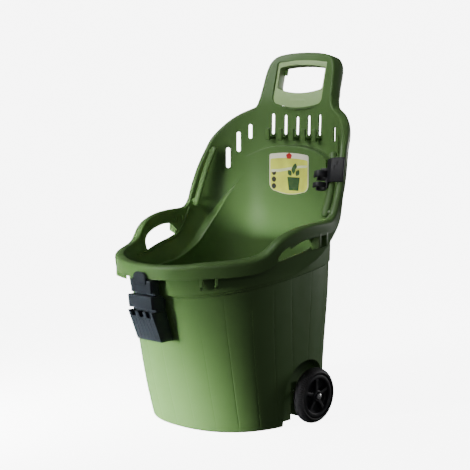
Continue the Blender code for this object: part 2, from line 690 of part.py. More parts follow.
def build_wheel(side, black, rubber):
    """Wheel disc with hub and spokes, and its tyre."""
    word = "right" if side > 0 else "left"
    c = (side * WHEEL_X, AXLE_Y, AXLE_Z)
    h = WHEEL_W / 2
    profile = [(AXLE_R + GAP, -h + 0.001), (0.0125, -h + 0.001), (0.0145, -0.0035), (0.0400, -0.0035),
               (0.0440, -h + 0.002), (0.0505, -h + 0.002), (0.0505, h - 0.002), (0.0440, h - 0.002),
               (0.0410, 0.0015), (0.0145, 0.0015), (0.0125, h - 0.001), (AXLE_R + GAP, h - 0.001)]
    disc = lathe("wheel_" + word, [(r, s * side) for r, s in profile], 32, c, PARTS, black)
    for k in range(6):
        a = math.radians(60 * k + 30)
        u = (0.0, math.cos(a), math.sin(a))
        v = (0.0, -math.sin(a), math.cos(a))
        spoke = prism("spoke_form", [(0.0115, -0.0032), (0.0450, -0.0024), (0.0450, 0.0024), (0.0115, 0.0032)],
                      (0.0, h - 0.0035), (c, u, v, (side, 0, 0)))
        boolean(disc, spoke, "UNION")
    pivot(disc, c)
    r = WHEEL_R
    ring = [(0.0505 + GAP, -h), (r - 0.0050, -h), (r - 0.0013, -h + 0.0030), (r, -h + 0.0075),
            (r, h - 0.0075), (r - 0.0013, h - 0.0030), (r - 0.0050, h), (0.0505 + GAP, h)]
    tyre = lathe("tyre_" + word, [(r, s * side) for r, s in ring], 40, c, PARTS, rubber)
    pivot(tyre, c)
    return disc, tyre


def build_fittings(steel):
    """Axle rod, washers and push-on end caps."""
    end = WHEEL_X + WHEEL_W / 2 + 0.0008
    rod = prism("axle", circle(AXLE_R, 20), (-end - 0.0030, end + 0.0030),
                ((0, AXLE_Y, AXLE_Z), (0, 1, 0), (0, 0, 1), (1, 0, 0)), PARTS, steel)
    for side, word in ((1, "right"), (-1, "left")):
        a = side * (end - WHEEL_W - 0.0024)
        lathe("washer_" + word, [(AXLE_R + GAP, 0.0), (0.0100, 0.0), (0.0100, side * 0.0016),
                                          (AXLE_R + GAP, side * 0.0016)], 24, (a, AXLE_Y, AXLE_Z), PARTS, steel)
        profile = [(AXLE_R + GAP * 0.75, 0.0), (0.0090, 0.0), (0.0090, side * 0.0014), (0.0074, side * 0.0040),
                   (0.0046, side * 0.0048), (0.0, side * 0.0050), (0.0, side * 0.0036),
                   (AXLE_R + GAP * 0.75, side * 0.0036)]
        cap = lathe("end_cap_" + word, profile, 24, (side * (end - 0.0004), AXLE_Y, AXLE_Z), PARTS, steel)
        slot = box("cap_slot", (side * (end + 0.0040), AXLE_Y - 0.0060, AXLE_Z - 0.0009),
                   (side * (end + 0.0080), AXLE_Y + 0.0060, AXLE_Z + 0.0009))
        boolean(cap, slot, "DIFFERENCE")
    return rod


def main():
    """Build every piece."""
    global PARTS, CUTTERS
    wipe_scene()
    PARTS = new_collection("garden_cart")
    CUTTERS = new_collection("cutters")
    green = material("tub_green", (0.098, 0.170, 0.062), 0.42)
    light = material("light_green", (0.400, 0.560, 0.280), 0.45)
    black = material("black_plastic", (0.018, 0.018, 0.022), 0.45)
    rubber = material("tyre_black", (0.022, 0.022, 0.022), 0.75)
    steel = material("bright_steel", (0.62, 0.62, 0.62), 0.28, 1.0)
    paper = material("label_paper", (0.80, 0.78, 0.45), 0.5)
    build_tub(green)
    build_insert(light)
    build_label(paper)
    for side in (1, -1):
        build_wheel(side, black, rubber)
    build_clip(black)
    build_holster(black)
    build_fittings(steel)
    for obj in CUTTERS.objects:
        obj.hide_render = True
        obj.display_type = "WIRE"


main()
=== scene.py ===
"""Looks of the garden cart: moulded tub, grip insert, label, rail clip, tool holster, wheels and studio."""

import math

import bmesh
import bpy
import numpy as np
from bpy.props import FloatProperty, FloatVectorProperty, IntProperty, PointerProperty
from bpy.types import Operator, Panel, PropertyGroup
from mathutils import Matrix, Vector


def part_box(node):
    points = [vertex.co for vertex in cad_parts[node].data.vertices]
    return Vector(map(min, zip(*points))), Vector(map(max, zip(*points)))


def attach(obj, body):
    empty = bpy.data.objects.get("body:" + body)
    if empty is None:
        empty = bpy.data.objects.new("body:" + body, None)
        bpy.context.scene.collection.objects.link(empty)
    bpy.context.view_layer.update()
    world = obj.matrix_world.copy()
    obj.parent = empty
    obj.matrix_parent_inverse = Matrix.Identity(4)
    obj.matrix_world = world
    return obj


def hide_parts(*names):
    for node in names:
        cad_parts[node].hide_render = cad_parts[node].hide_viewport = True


bl_info = {
    "name": "Garden Cart",
    "version": (1, 0, 0),
    "blender": (4, 5, 0),
    "location": "View3D > Sidebar > Garden Cart",
    "description": "Builds the visible pieces of a two-wheeled garden cart over its frame",
    "category": "Object",
}

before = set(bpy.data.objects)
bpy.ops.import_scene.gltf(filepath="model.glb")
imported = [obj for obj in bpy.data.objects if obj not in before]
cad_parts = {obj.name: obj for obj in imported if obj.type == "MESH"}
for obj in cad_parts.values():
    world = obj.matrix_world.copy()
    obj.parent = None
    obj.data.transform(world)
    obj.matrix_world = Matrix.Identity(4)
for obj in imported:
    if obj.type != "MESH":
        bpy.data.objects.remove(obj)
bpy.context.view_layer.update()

TYRE_LOW, TYRE_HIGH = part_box("tyre_right")
AXLE_Y = (TYRE_LOW.y + TYRE_HIGH.y) / 2
AXLE_Z = (TYRE_LOW.z + TYRE_HIGH.z) / 2
WHEEL_X = (TYRE_LOW.x + TYRE_HIGH.x) / 2
WHEEL_R = AXLE_Z
WHEEL_W = TYRE_HIGH.x - TYRE_LOW.x

# ---- shape of the tub, in metres ---------------------------------------------------
GAP = 0.0004                # clearance round the grip insert
FLOOR = 0.0040              # thickness of the tub's floor
FLOOR_ROUND = 0.010         # inner round between floor and wall
WELL_R = 0.079
WELL_X = 0.1465             # inner face of a wheel well
TUNNEL_HALF = (0.0184, 0.022)   # half width of the axle tunnel, inside and outside
TUNNEL_TOP = (0.0864, 0.0900)   # top of the tunnel, inside and outside
WEB_X = 0.128               # webs that carry the axle
AXLE_HOLE_R = 0.0049
RAIL_IN = 0.0170            # rail axis inside the wing's edge
RAIL_BACK = 0.0056
RAIL_WIDE = 0.0092
RAIL_R = 0.0058
CLIP_Z = 0.571              # height of the clip's middle
HANDLE_LEAN = 0.245         # backward lean of the handle, per metre of height
LEAN_START = 0.715
HANDLE_Z = 0.770
HOOP_DEPTH = 0.0215         # depth of the grip insert and its collar
PANEL_Y = 0.2365
LABEL_Z = 0.5500

# level sections: height, half width, y of the widest place, front y, back y, front and back roundness
LOWER = np.array([
    [0.000, 0.1750, 0.023, -0.1645, 0.2010, 2.37, 2.6],
    [0.080, 0.1785, 0.020, -0.1870, 0.2030, 2.40, 2.7],
    [0.170, 0.1805, 0.016, -0.2085, 0.2050, 2.38, 2.9],
    [0.330, 0.1825, 0.010, -0.2425, 0.2070, 2.14, 3.4],
    [0.620, 0.1890, 0.010, -0.2500, 0.2070, 2.12, 3.4]])
UPPER = np.array([
    [0.300, 0.1850, 0.008, -0.2450, 0.2235, 2.12, 2.9],
    [0.345, 0.1895, 0.010, -0.2520, 0.2245, 2.15, 2.9],
    [0.380, 0.2030, 0.018, -0.2590, 0.2255, 2.20, 2.8],
    [0.420, 0.2155, 0.032, -0.2620, 0.2270, 2.25, 2.6],
    [0.460, 0.2230, 0.050, -0.2640, 0.2285, 2.30, 2.5],
    [0.500, 0.2255, 0.068, -0.2640, 0.2305, 2.30, 2.4],
    [0.550, 0.2235, 0.080, -0.2640, 0.2325, 2.30, 2.4],
    [0.600, 0.2190, 0.080, -0.2640, 0.2342, 2.30, 2.4],
    [0.630, 0.2170, 0.080, -0.2640, 0.2350, 2.30, 2.4],
    [0.700, 0.2150, 0.080, -0.2640, 0.2365, 2.30, 2.4],
    [0.850, 0.2150, 0.080, -0.2640, 0.2365, 2.30, 2.4]])
# side view of the rim and wing edge: (y, z)
ARCH = ((-0.221, 0.3850), (-0.190, 0.3885), (-0.158, 0.3915), (-0.128, 0.3960), (-0.108, 0.4030),
        (-0.092, 0.4155), (-0.078, 0.4290), (-0.060, 0.4400), (-0.036, 0.4485), (-0.005, 0.4550),
        (0.025, 0.4580), (0.052, 0.4590), (0.072, 0.4612), (0.084, 0.4680), (0.0925, 0.4790),
        (0.0985, 0.4930), (0.106, 0.5130), (0.116, 0.5400), (0.1265, 0.5680), (0.138, 0.5970),
        (0.151, 0.6260))
# front view of the shoulder and hoop: (x, z)
SHOULDER = ((0.1900, 0.6520), (0.1740, 0.6730), (0.1540, 0.6890), (0.1330, 0.6995), (0.1205, 0.7055),
            (0.1140, 0.7150), (0.1095, 0.7310), (0.1060, 0.7580), (0.1035, 0.7840), (0.0995, 0.8055),
            (0.0920, 0.8200), (0.0800, 0.8290), (0.0620, 0.8335), (0.0410, 0.8360), (0.0200, 0.8372),
            (0.0, 0.8376))
FRONT_X = (0.0, 0.028, 0.055, 0.081, 0.104)
# how far the rolled lip stands out and hangs down, against height
LIP_OUT = ((0.377, 0.0225), (0.400, 0.0240), (0.430, 0.0225), (0.455, 0.0185), (0.470, 0.0165),
           (0.600, 0.0165), (0.660, 0.0200), (0.735, 0.0290), (0.800, 0.0350))
LIP_DROP = ((0.377, 0.0240), (0.400, 0.0290), (0.430, 0.0290), (0.458, 0.0240), (0.500, 0.0075),
            (0.850, 0.0075))
# inner ledge against y, where it climbs the sides
LEDGE_Y = (-0.25, -0.04, 0.0, 0.025, 0.05, 0.08, 0.10, 0.12, 0.14, 0.155, 0.175, 0.190, 0.2045)
LEDGE_Z = (0.309, 0.3405, 0.3460, 0.354, 0.3655, 0.3835, 0.405, 0.430, 0.458, 0.484, 0.520, 0.556, 0.588)
HOOK_X = (-0.074, -0.037, 0.0, 0.037, 0.074)
HOOK_Z = 0.64
HOOK_SLOT_LOW = 0.642
HOOK_SLOT_MIDDLE = 0.665
HOOK_SLOT_TOP = (0.693, 0.690, 0.687, 0.690, 0.693)
# wing slots: (x, lowest z, highest z)
WING_SLOTS = ((0.134, 0.630, 0.666), (0.160, 0.5975, 0.6470), (0.181, 0.5570, 0.6080))
# fins under the rim: (y, height near their top, height at which the wall's place is read)
SOCKET_FINS = ((-0.211, 0.360, 0.365), (-0.189, 0.363, 0.365), (0.0375, 0.4320, 0.42), (0.0600, 0.4330, 0.42))


class CartSizes(PropertyGroup):
    """Sizes and counts of the cart's details."""
    wall: FloatProperty(name="Wall", description="Thickness of the moulded wall", default=0.0036,
                        unit="LENGTH")
    band: FloatProperty(name="Band", description="How far the upper band stands out", default=0.0028,
                        unit="LENGTH")
    column_step: FloatProperty(name="Mesh step", description="Spacing of the tub's columns along its edge",
                               default=0.0055, unit="LENGTH")
    seam_pitch: FloatProperty(name="Seam pitch", description="Distance between the wall's upright seams",
                              default=0.0535, unit="LENGTH")
    seam_depth: FloatProperty(name="Seam depth", description="Depth of the upright seams", default=0.0004,
                              unit="LENGTH")
    tread_ribs: IntProperty(name="Tread ribs", description="Ribs round each tyre", default=72)
    spokes: IntProperty(name="Spokes", description="Spokes of each wheel", default=5)
    floor_glow: FloatProperty(name="Floor glow", description="Light given off by the studio floor",
                              default=8.0)


class CartColours(PropertyGroup):
    """Colours of the mouldings and metal."""
    tub: FloatVectorProperty(name="Tub", description="Moulded tub", subtype="COLOR",
                             default=(0.092, 0.176, 0.054))
    insert: FloatVectorProperty(name="Insert", description="Grip insert", subtype="COLOR",
                                default=(0.365, 0.540, 0.235))
    black: FloatVectorProperty(name="Black", description="Clip and wheels", subtype="COLOR",
                               default=(0.020, 0.021, 0.025))
    holster: FloatVectorProperty(name="Holster", description="Tool holster", subtype="COLOR",
                                 default=(0.028, 0.034, 0.041))
    tyre: FloatVectorProperty(name="Tyre", description="Tyre bands", subtype="COLOR",
                              default=(0.017, 0.017, 0.018))
    steel: FloatVectorProperty(name="Steel", description="Axle, washers and caps", subtype="COLOR",
                               default=(0.86, 0.86, 0.87))
    paper: FloatVectorProperty(name="Label border", description="Cream border of the label", subtype="COLOR",
                               default=(0.84, 0.83, 0.64))
    field: FloatVectorProperty(name="Label field", description="Printed field of the label", subtype="COLOR",
                               default=(0.60, 0.64, 0.09))


def sizes():
    """The size properties."""
    return bpy.context.scene.cart_sizes


def colours():
    """The colour properties."""
    return bpy.context.scene.cart_colours


# ---- curves and sections -----------------------------------------------------------
def smooth(xs, ys, x):
    """Monotone cubic curve through (xs, ys), read at x."""
    xs, ys = np.asarray(xs, float), np.asarray(ys, float)
    x = np.clip(np.asarray(x, float), xs[0], xs[-1])
    step = np.diff(xs)
    slope = np.diff(ys) / step
    product = slope[:-1] * slope[1:]
    total = np.where(product > 0, slope[:-1] + slope[1:], 1.0)
    tangent = np.concatenate([slope[:1], np.where(product > 0, 2 * product / total, 0.0), slope[-1:]])
    k = np.clip(np.searchsorted(xs, x, side="right") - 1, 0, len(step) - 1)
    t = (x - xs[k]) / step[k]
    a = ys[k] * (1 + 2 * t) * (1 - t) ** 2 + ys[k + 1] * t * t * (3 - 2 * t)
    return a + step[k] * (tangent[k] * t * (1 - t) ** 2 - tangent[k + 1] * t * t * (1 - t))


def lean(z):
    """Backward shift of the handle hoop at a height."""
    rise = np.maximum(0.0, np.asarray(z, float) - LEAN_START)
    return HANDLE_LEAN * (rise - 0.012 * (1 - np.exp(-rise / 0.012)))


def section(table, z, t, grow=0.0):
    """Points of a level section at heights z and angles t, -90 at the front to 90 at the back."""
    t, z = np.broadcast_arrays(np.asarray(t, float), np.asarray(z, float))
    half, mid, front, back, n_front, n_back = [smooth(table[:, 0], table[:, k], z) for k in range(1, 7)]
    half = half + grow
    c = np.maximum(0.0, np.cos(np.radians(t)))
    s = np.sin(np.radians(t))
    size = np.abs(s)
    x = np.where(s < 0, half * c ** (2 / n_front), half * c ** (2 / n_back))
    y = np.where(s < 0, mid - (mid - front + grow) * size ** (2 / n_front),
                 mid + (back - mid + grow) * size ** (2 / n_back))
    return np.stack([x, y + lean(z), z], axis=-1)


ANGLES = np.linspace(-90.0, 90.0, 14401)


def angle_of(z, x=None, y=None, front=False):
    """Angle at which the upper section at height z passes a given x or y."""
    p = section(UPPER, z, ANGLES)
    if y is not None:
        miss = np.abs(p[:, 1] - lean(z) - y)
    else:
        miss = np.abs(p[:, 0] - abs(x)) + np.where((ANGLES < 0) == front, 0.0, 10.0)
    return float(ANGLES[int(np.argmin(miss))])


def edge_columns():
    """Angles and heights of the tub's columns along its top edge, front to back, with their seam share."""
    marks = []
    for x in FRONT_X:
        z = 0.3770 + 0.0080 * (x / 0.124) ** 2
        marks.append((-90.0 if x == 0 else angle_of(z, x=x, front=True), z))
    marks += [(angle_of(z, y=y), z) for y, z in ARCH]
    marks += [(90.0 if x == 0 else angle_of(z, x=x), z) for x, z in SHOULDER]
    marks = np.array(marks)
    edge = section(UPPER, marks[:, 1], marks[:, 0])
    run = np.concatenate([[0.0], np.cumsum(np.linalg.norm(np.diff(edge, axis=0), axis=1))])
    fine = np.linspace(0.0, run[-1], 6001)
    fine_t, fine_z = smooth(run, marks[:, 0], fine), smooth(run, marks[:, 1], fine)
    count = int(run[-1] / sizes().column_step)
    angles = list(np.interp(np.linspace(0.0, run[-1], count), fine, fine_t))
    angles[0], angles[-1] = -90.0, 90.0
    # the upright seams stand at equal distances round the wall
    wall = section(LOWER, 0.15, ANGLES)
    length = np.concatenate([[0.0], np.cumsum(np.linalg.norm(np.diff(wall, axis=0), axis=1))])
    seam = {}
    for k in range(int(length[-1] / sizes().seam_pitch) + 1):
        for shift, share in ((-0.0022, 0.0), (-0.0010, 0.2), (0.0, 1.0), (0.0010, 0.2), (0.0022, 0.0)):
            place = k * sizes().seam_pitch + shift
            if 0.0 <= place < length[-1] - 0.004:
                seam[float(np.interp(place, length, ANGLES))] = share
    near = np.array(sorted(seam))
    at = np.interp(near, ANGLES, length)
    kept = [t for t in angles if np.min(np.abs(np.interp(t, ANGLES, length) - at)) > 0.0012 or abs(t) == 90.0]
    both = {t: 0.0 for t in kept}
    both.update(seam)
    order = sorted(both)
    return np.array(order), np.interp(order, fine_t, fine_z), np.array([both[t] for t in order])


def ledge_height(t):
    """Height of the inner ledge that rises into the arch on the back panel."""
    p = section(LOWER, 0.4, t)
    arch = 0.618 - 0.030 * (np.minimum(p[..., 0], 0.128) / 0.128) ** 2.6
    return np.where((p[..., 0] < 0.128) & (p[..., 1] > 0.1), arch, smooth(LEDGE_Y, LEDGE_Z, p[..., 1]))


def lip_profile(reach, drop, wall):
    """Section of the rolled lip as (outwards, beyond) pairs, from the inner edge round to the outer wall."""
    flare = reach + 0.0022
    top = [(0.0003, 0.0014), (0.0012, 0.0027), (0.0026, 0.0036), (0.0046, 0.0041), (reach * 0.5, 0.0044),
           (reach - 0.0062, 0.0040), (reach - 0.0038, 0.0031), (reach - 0.0018, 0.0015)]
    skirt = [(reach - 0.0005, -0.0008), (reach + 0.0002, -0.0036), (reach + 0.0010, -drop * 0.5 - 0.0018),
             (flare - 0.0004, -drop + 0.0016), (flare - 0.0002, -drop + 0.0005),
             (flare - 0.0010, -drop - 0.0002)]
    inside = [(flare - wall + 0.0010, -drop - 0.0002), (flare - wall + 0.0002, -drop + 0.0005),
              (flare - wall, -drop + 0.0018), (reach - wall, -0.0048), (reach - wall - 0.0022, -0.0014),
              (wall + 0.0042, -0.0004), (wall + 0.0016, -0.0012)]
    return top + skirt + inside


def tub_rows():
    """Rows of points of one half of the tub, each running front to back."""
    wall, band = sizes().wall, sizes().band
    t, top, seam = edge_columns()
    z_in = ledge_height(t)
    base = section(LOWER, 0.4, t)
    z_band = np.minimum(0.3405 + 0.13 * (base[:, 1] - 0.008) - 0.0025, z_in - 0.002)
    z_up = np.maximum(z_in - 0.0075, z_band + 0.004)
    rows = []
    # round between floor and wall
    for k in range(6):
        a = math.radians(90 * k / 5)
        rows.append(section(LOWER, FLOOR + FLOOR_ROUND * (1 - math.cos(a)), t,
                            -FLOOR_ROUND * (1 - math.sin(a))))
    # inner wall up to the ledge, then the ledge, then up to the top edge
    foot = FLOOR + FLOOR_ROUND
    for k in np.linspace(0.0, 1.0, 11)[1:]:
        rows.append(section(LOWER, foot + (z_in - 0.0080 - foot) * k, t))
    for dz, share in ((-0.0050, 0.0), (-0.0030, 0.0), (-0.0016, 0.03), (-0.0007, 0.12), (-0.0002, 0.45),
                      (0.0002, 0.85), (0.0010, 0.97), (0.0028, 1.0)):
        low, high = section(LOWER, z_in + dz, t), section(UPPER, z_in + dz, t)
        rows.append(low * (1 - share) + high * share)
    for k in np.linspace(0.0, 1.0, 19)[1:]:
        rows.append(section(UPPER, z_in + 0.0028 + (top - z_in - 0.0028) * k, t))
    # rolled lip, square to the top edge
    edge = rows[-1]
    below = section(UPPER, top - 0.004, t)
    tangent = np.gradient(edge, axis=0)
    tangent[0], tangent[-1] = (1.0, 0.0, 0.0), (-1.0, 0.0, 0.0)
    tangent /= np.linalg.norm(tangent, axis=1)[:, None]
    up = edge - below
    up[0, 0] = up[-1, 0] = 0.0
    out = np.cross(tangent, up)
    out /= np.linalg.norm(out, axis=1)[:, None]
    beyond = np.cross(out, tangent)
    reach = smooth(*zip(*LIP_OUT), top)
    drop = smooth(*zip(*LIP_DROP), top)
    for a, b in lip_profile(reach, drop, wall):
        a, b = np.broadcast_to(a, top.shape), np.broadcast_to(b, top.shape)
        rows.append(edge + out * a[:, None] + beyond * b[:, None])
    # outer wall down to the band, the band's two steps, the seamed lower wall and the foot
    low = z_up + 0.0035
    for k in np.linspace(1.0, 0.0, 17):
        rows.append(section(UPPER, low + (top - 0.0035 - low) * k, t, wall))
    for dz, share in ((0.0028, 0.03), (0.0018, 0.15), (0.0012, 0.55), (0.0005, 0.90), (-0.0008, 1.0)):
        high, lower = section(UPPER, z_up + dz, t, wall), section(LOWER, z_up + dz, t, wall + band)
        rows.append(high * (1 - share) + lower * share)
    for dz, grow in ((0.0022, band), (0.0012, band * 0.95), (0.0004, band * 0.75), (-0.0004, band * 0.25),
                     (-0.0014, 0.0)):
        rows.append(section(LOWER, z_band + dz, t, wall + grow))
    for k in np.linspace(1.0, 0.0, 13)[1:]:
        fade = min(1.0, (1.0 - k) * 12)
        rows.append(section(LOWER, 0.0080 + (z_band - 0.0014 - 0.0080) * k, t,
                            wall - seam * sizes().seam_depth * fade))
    for k in range(1, 6):
        a = math.radians(90 * k / 5)
        grow = wall - 0.0045 * (1 - math.cos(a)) - seam * sizes().seam_depth * (1 - k / 5)
        rows.append(section(LOWER, 0.0080 - 0.0080 * math.sin(a), t, grow))
    return rows


# ---- mesh tools --------------------------------------------------------------------
def finish_mesh(obj, angle=32.0):
    """Smooth the shading, and keep edges sharper than the angle crisp."""
    for face in obj.data.polygons:
        face.use_smooth = True
    obj.data.set_sharp_from_angle(angle=math.radians(angle))
    return obj


def add_mesh(name, verts, faces, mat=None):
    """A new mesh object with its normals facing out."""
    mesh = bpy.data.meshes.new(name)
    mesh.from_pydata([tuple(v) for v in verts], [], [tuple(f) for f in faces])
    bm = bmesh.new()
    bm.from_mesh(mesh)
    bmesh.ops.remove_doubles(bm, verts=bm.verts, dist=1e-6)
    bmesh.ops.recalc_face_normals(bm, faces=bm.faces)
    bm.to_mesh(mesh)
    bm.free()
    obj = bpy.data.objects.new(name, mesh)
    bpy.context.scene.collection.objects.link(obj)
    if mat:
        mesh.materials.append(mat)
    return obj


def bake(obj):
    """Apply an object's modifiers to its mesh."""
    graph = bpy.context.evaluated_depsgraph_get()
    mesh = bpy.data.meshes.new_from_object(obj.evaluated_get(graph))
    obj.modifiers.clear()
    obj.data = mesh
    return obj


def soften(obj, width, segments=2, angle=35.0):
    """Round an object's edges."""
    mod = obj.modifiers.new("round", "BEVEL")
    mod.width = width
    mod.segments = segments
    mod.limit_method = "ANGLE"
    mod.angle_limit = math.radians(angle)
    return bake(obj)


def carve(target, tool, operation="DIFFERENCE"):
    """Apply a Boolean of two closed meshes and remove its tool."""
    mod = target.modifiers.new("cut", "BOOLEAN")
    mod.operation = operation
    mod.solver = "MANIFOLD"
    mod.object = tool
    bake(target)
    bpy.data.objects.remove(tool, do_unlink=True)
    return target


def join(target, pieces):
    """Add the meshes of pieces to target as further closed bodies."""
    bm = bmesh.new()
    bm.from_mesh(target.data)
    for piece in pieces:
        bm.from_mesh(piece.data)
    bm.to_mesh(target.data)
    bm.free()
    for piece in pieces:
        bpy.data.objects.remove(piece, do_unlink=True)
    return target


def mirrored(obj):
    """A copy of an object on the other side of the cart."""
    mesh = obj.data.copy()
    for v in mesh.vertices:
        v.co.x = -v.co.x
    mesh.flip_normals()
    twin = bpy.data.objects.new(obj.name + "_left", mesh)
    bpy.context.scene.collection.objects.link(twin)
    return twin


def prism(name, outline, depth, place, mat=None):
    """Extrude an outline (u, v) along w between two depths; place = (origin, u, v, w)."""
    origin, ax_u, ax_v, ax_w = [Vector(a) for a in place]
    n = len(outline)
    verts = [origin + ax_u * u + ax_v * v + ax_w * w for w in depth for u, v in outline]
    faces = [list(range(n)), list(range(2 * n - 1, n - 1, -1))]
    faces += [[i, (i + 1) % n, n + (i + 1) % n, n + i] for i in range(n)]
    return add_mesh(name, verts, faces, mat)


def block(name, low, high, mat=None):
    """Axis-aligned block between two corners."""
    outline = [(low[0], low[1]), (high[0], low[1]), (high[0], high[1]), (low[0], high[1])]
    return prism(name, outline, (low[2], high[2]), ((0, 0, 0), (1, 0, 0), (0, 1, 0), (0, 0, 1)), mat)


def ring_points(radius, steps, centre=(0.0, 0.0)):
    """Points round a circle."""
    return [(centre[0] + radius * math.cos(2 * math.pi * i / steps),
             centre[1] + radius * math.sin(2 * math.pi * i / steps)) for i in range(steps)]


def arc(centre, radius, start, end, steps):
    """Points of an arc, angles in degrees."""
    return [(centre[0] + radius * math.cos(math.radians(start + (end - start) * i / steps)),
             centre[1] + radius * math.sin(math.radians(start + (end - start) * i / steps)))
            for i in range(steps + 1)]


def round_rect(half_w, half_h, radius, steps=6, centre=(0.0, 0.0)):
    """Outline of a rounded rectangle."""
    pts = []
    for cx, cy, start in ((1, 1, 0), (-1, 1, 90), (-1, -1, 180), (1, -1, 270)):
        pts += arc((centre[0] + cx * (half_w - radius), centre[1] + cy * (half_h - radius)),
                   radius, start, start + 90, steps)
    return pts


def turned(name, profile, steps, centre, mat=None):
    """Turn a closed (radius, along) profile about an axis along X."""
    verts, faces = [], []
    n = len(profile)
    for i in range(steps):
        a = 2 * math.pi * i / steps
        verts += [(centre[0] + s, centre[1] + r * math.cos(a), centre[2] + r * math.sin(a))
                  for r, s in profile]
    for i in range(steps):
        j = (i + 1) % steps
        faces += [[i * n + k, j * n + k, j * n + (k + 1) % n, i * n + (k + 1) % n] for k in range(n)]
    return add_mesh(name, verts, faces, mat)


def rod(name, path, radius, steps, flat=None):
    """A rod with rounded ends along a smooth path; flat gives a wider direction and its half width."""
    tip, neck = 0.35, 0.85
    path = np.array(path, float)
    run = np.concatenate([[0.0], np.cumsum(np.linalg.norm(np.diff(path, axis=0), axis=1))])
    fine = np.linspace(0.0, run[-1], max(8, int(run[-1] / 0.006)))
    line = np.stack([smooth(run, path[:, k], fine) for k in range(3)], axis=1)
    heading = np.gradient(line, axis=0)
    heading /= np.linalg.norm(heading, axis=1)[:, None]
    shape = [(line[0] - heading[0] * radius * 0.9, heading[0], tip),
             (line[0] - heading[0] * radius * 0.5, heading[0], neck)]
    shape += [(p, d, 1.0) for p, d in zip(line, heading)]
    shape += [(line[-1] + heading[-1] * radius * 0.5, heading[-1], neck),
              (line[-1] + heading[-1] * radius * 0.9, heading[-1], tip)]
    wide = radius
    verts, faces = [], []
    for p, d, share in shape:
        side = np.cross(d, (0.0, 1.0, 0.2))
        if flat:
            side, wide = np.array(flat[0]) - d * d.dot(flat[0]), flat[1]
        side /= np.linalg.norm(side)
        other = np.cross(d, side)
        for k in range(steps):
            a = 2 * math.pi * k / steps
            verts.append(p + (side * math.cos(a) * wide + other * math.sin(a) * radius) * share)
    for i in range(len(shape) - 1):
        for k in range(steps):
            j = (k + 1) % steps
            faces.append([i * steps + k, i * steps + j, (i + 1) * steps + j, (i + 1) * steps + k])
    faces.append(list(range(steps))[::-1])
    faces.append([(len(shape) - 1) * steps + k for k in range(steps)])
    return add_mesh(name, verts, faces)


# ---- finishes ----------------------------------------------------------------------
def new_material(name):
    """An empty node material: its tree, shader and object coordinates."""
    mat = bpy.data.materials.new(name)
    mat.use_nodes = True
    tree = mat.node_tree
    shader = tree.nodes["Principled BSDF"]
    coords = tree.nodes.new("ShaderNodeTexCoord")
    return mat, tree, shader, coords.outputs["Object"]


def noise(tree, coords, scale, detail=3.0, rough=0.55):
    """A noise texture in object space."""
    node = tree.nodes.new("ShaderNodeTexNoise")
    node.inputs["Scale"].default_value = scale
    node.inputs["Detail"].default_value = detail
    node.inputs["Roughness"].default_value = rough
    tree.links.new(coords, node.inputs["Vector"])
    return node.outputs["Fac"]


def blend_colours(tree, factor, first, second):
    """Mix two colours by a factor."""
    ramp = tree.nodes.new("ShaderNodeValToRGB")
    ramp.color_ramp.elements[0].position = 0.30
    ramp.color_ramp.elements[1].position = 0.70
    ramp.color_ramp.elements[0].color = (*first, 1.0)
    ramp.color_ramp.elements[1].color = (*second, 1.0)
    tree.links.new(factor, ramp.inputs["Fac"])
    return ramp.outputs["Color"]


def spread(tree, factor, low, high):
    """Map a factor onto a range of values."""
    node = tree.nodes.new("ShaderNodeMapRange")
    node.inputs["From Min"].default_value = 0.25
    node.inputs["From Max"].default_value = 0.75
    node.inputs["To Min"].default_value = low
    node.inputs["To Max"].default_value = high
    tree.links.new(factor, node.inputs["Value"])
    return node.outputs["Result"]


def tint(colour, share):
    """A colour made lighter or darker."""
    return tuple(min(1.0, c * share) for c in colour)


def moulded(name, colour, rough, grain=0.10, vary=0.10, grain_scale=900.0, coat=0.0, specular=0.5):
    """Moulded plastic: faint flow marks, uneven gloss and a fine spark-eroded grain."""
    mat, tree, shader, coords = new_material(name)
    flow = noise(tree, coords, 7.0, 4.0, 0.6)
    tree.links.new(blend_colours(tree, flow, tint(colour, 1 - vary), tint(colour, 1 + vary)),
                   shader.inputs["Base Color"])
    tree.links.new(spread(tree, noise(tree, coords, 38.0, 5.0), rough - 0.05, rough + 0.06),
                   shader.inputs["Roughness"])
    fine = noise(tree, coords, grain_scale, 2.0)
    broad = noise(tree, coords, 60.0, 2.0)
    first = tree.nodes.new("ShaderNodeBump")
    first.inputs["Strength"].default_value = grain
    first.inputs["Distance"].default_value = 0.0002
    tree.links.new(fine, first.inputs["Height"])
    second = tree.nodes.new("ShaderNodeBump")
    second.inputs["Strength"].default_value = grain * 0.6
    second.inputs["Distance"].default_value = 0.0006
    tree.links.new(broad, second.inputs["Height"])
    tree.links.new(first.outputs["Normal"], second.inputs["Normal"])
    tree.links.new(second.outputs["Normal"], shader.inputs["Normal"])
    shader.inputs["Specular IOR Level"].default_value = specular
    shader.inputs["Coat Weight"].default_value = coat
    shader.inputs["Coat Roughness"].default_value = 0.25
    return mat


def bright_metal(name, colour, rough=0.24):
    """Bright steel with fine turning marks."""
    mat, tree, shader, coords = new_material(name)
    mark = noise(tree, coords, 260.0, 4.0)
    tree.links.new(blend_colours(tree, mark, tint(colour, 0.86), tint(colour, 1.08)),
                   shader.inputs["Base Color"])
    tree.links.new(spread(tree, mark, rough - 0.06, rough + 0.10), shader.inputs["Roughness"])
    shader.inputs["Metallic"].default_value = 1.0
    return mat


def printed(name, first, second, scale=60.0, rough=0.38):
    """Printed paper under a thin film: a soft change between two inks."""
    mat, tree, shader, coords = new_material(name)
    tree.links.new(blend_colours(tree, noise(tree, coords, scale, 2.0), first, second),
                   shader.inputs["Base Color"])
    tree.links.new(spread(tree, noise(tree, coords, 400.0, 2.0), rough - 0.04, rough + 0.05),
                   shader.inputs["Roughness"])
    return mat


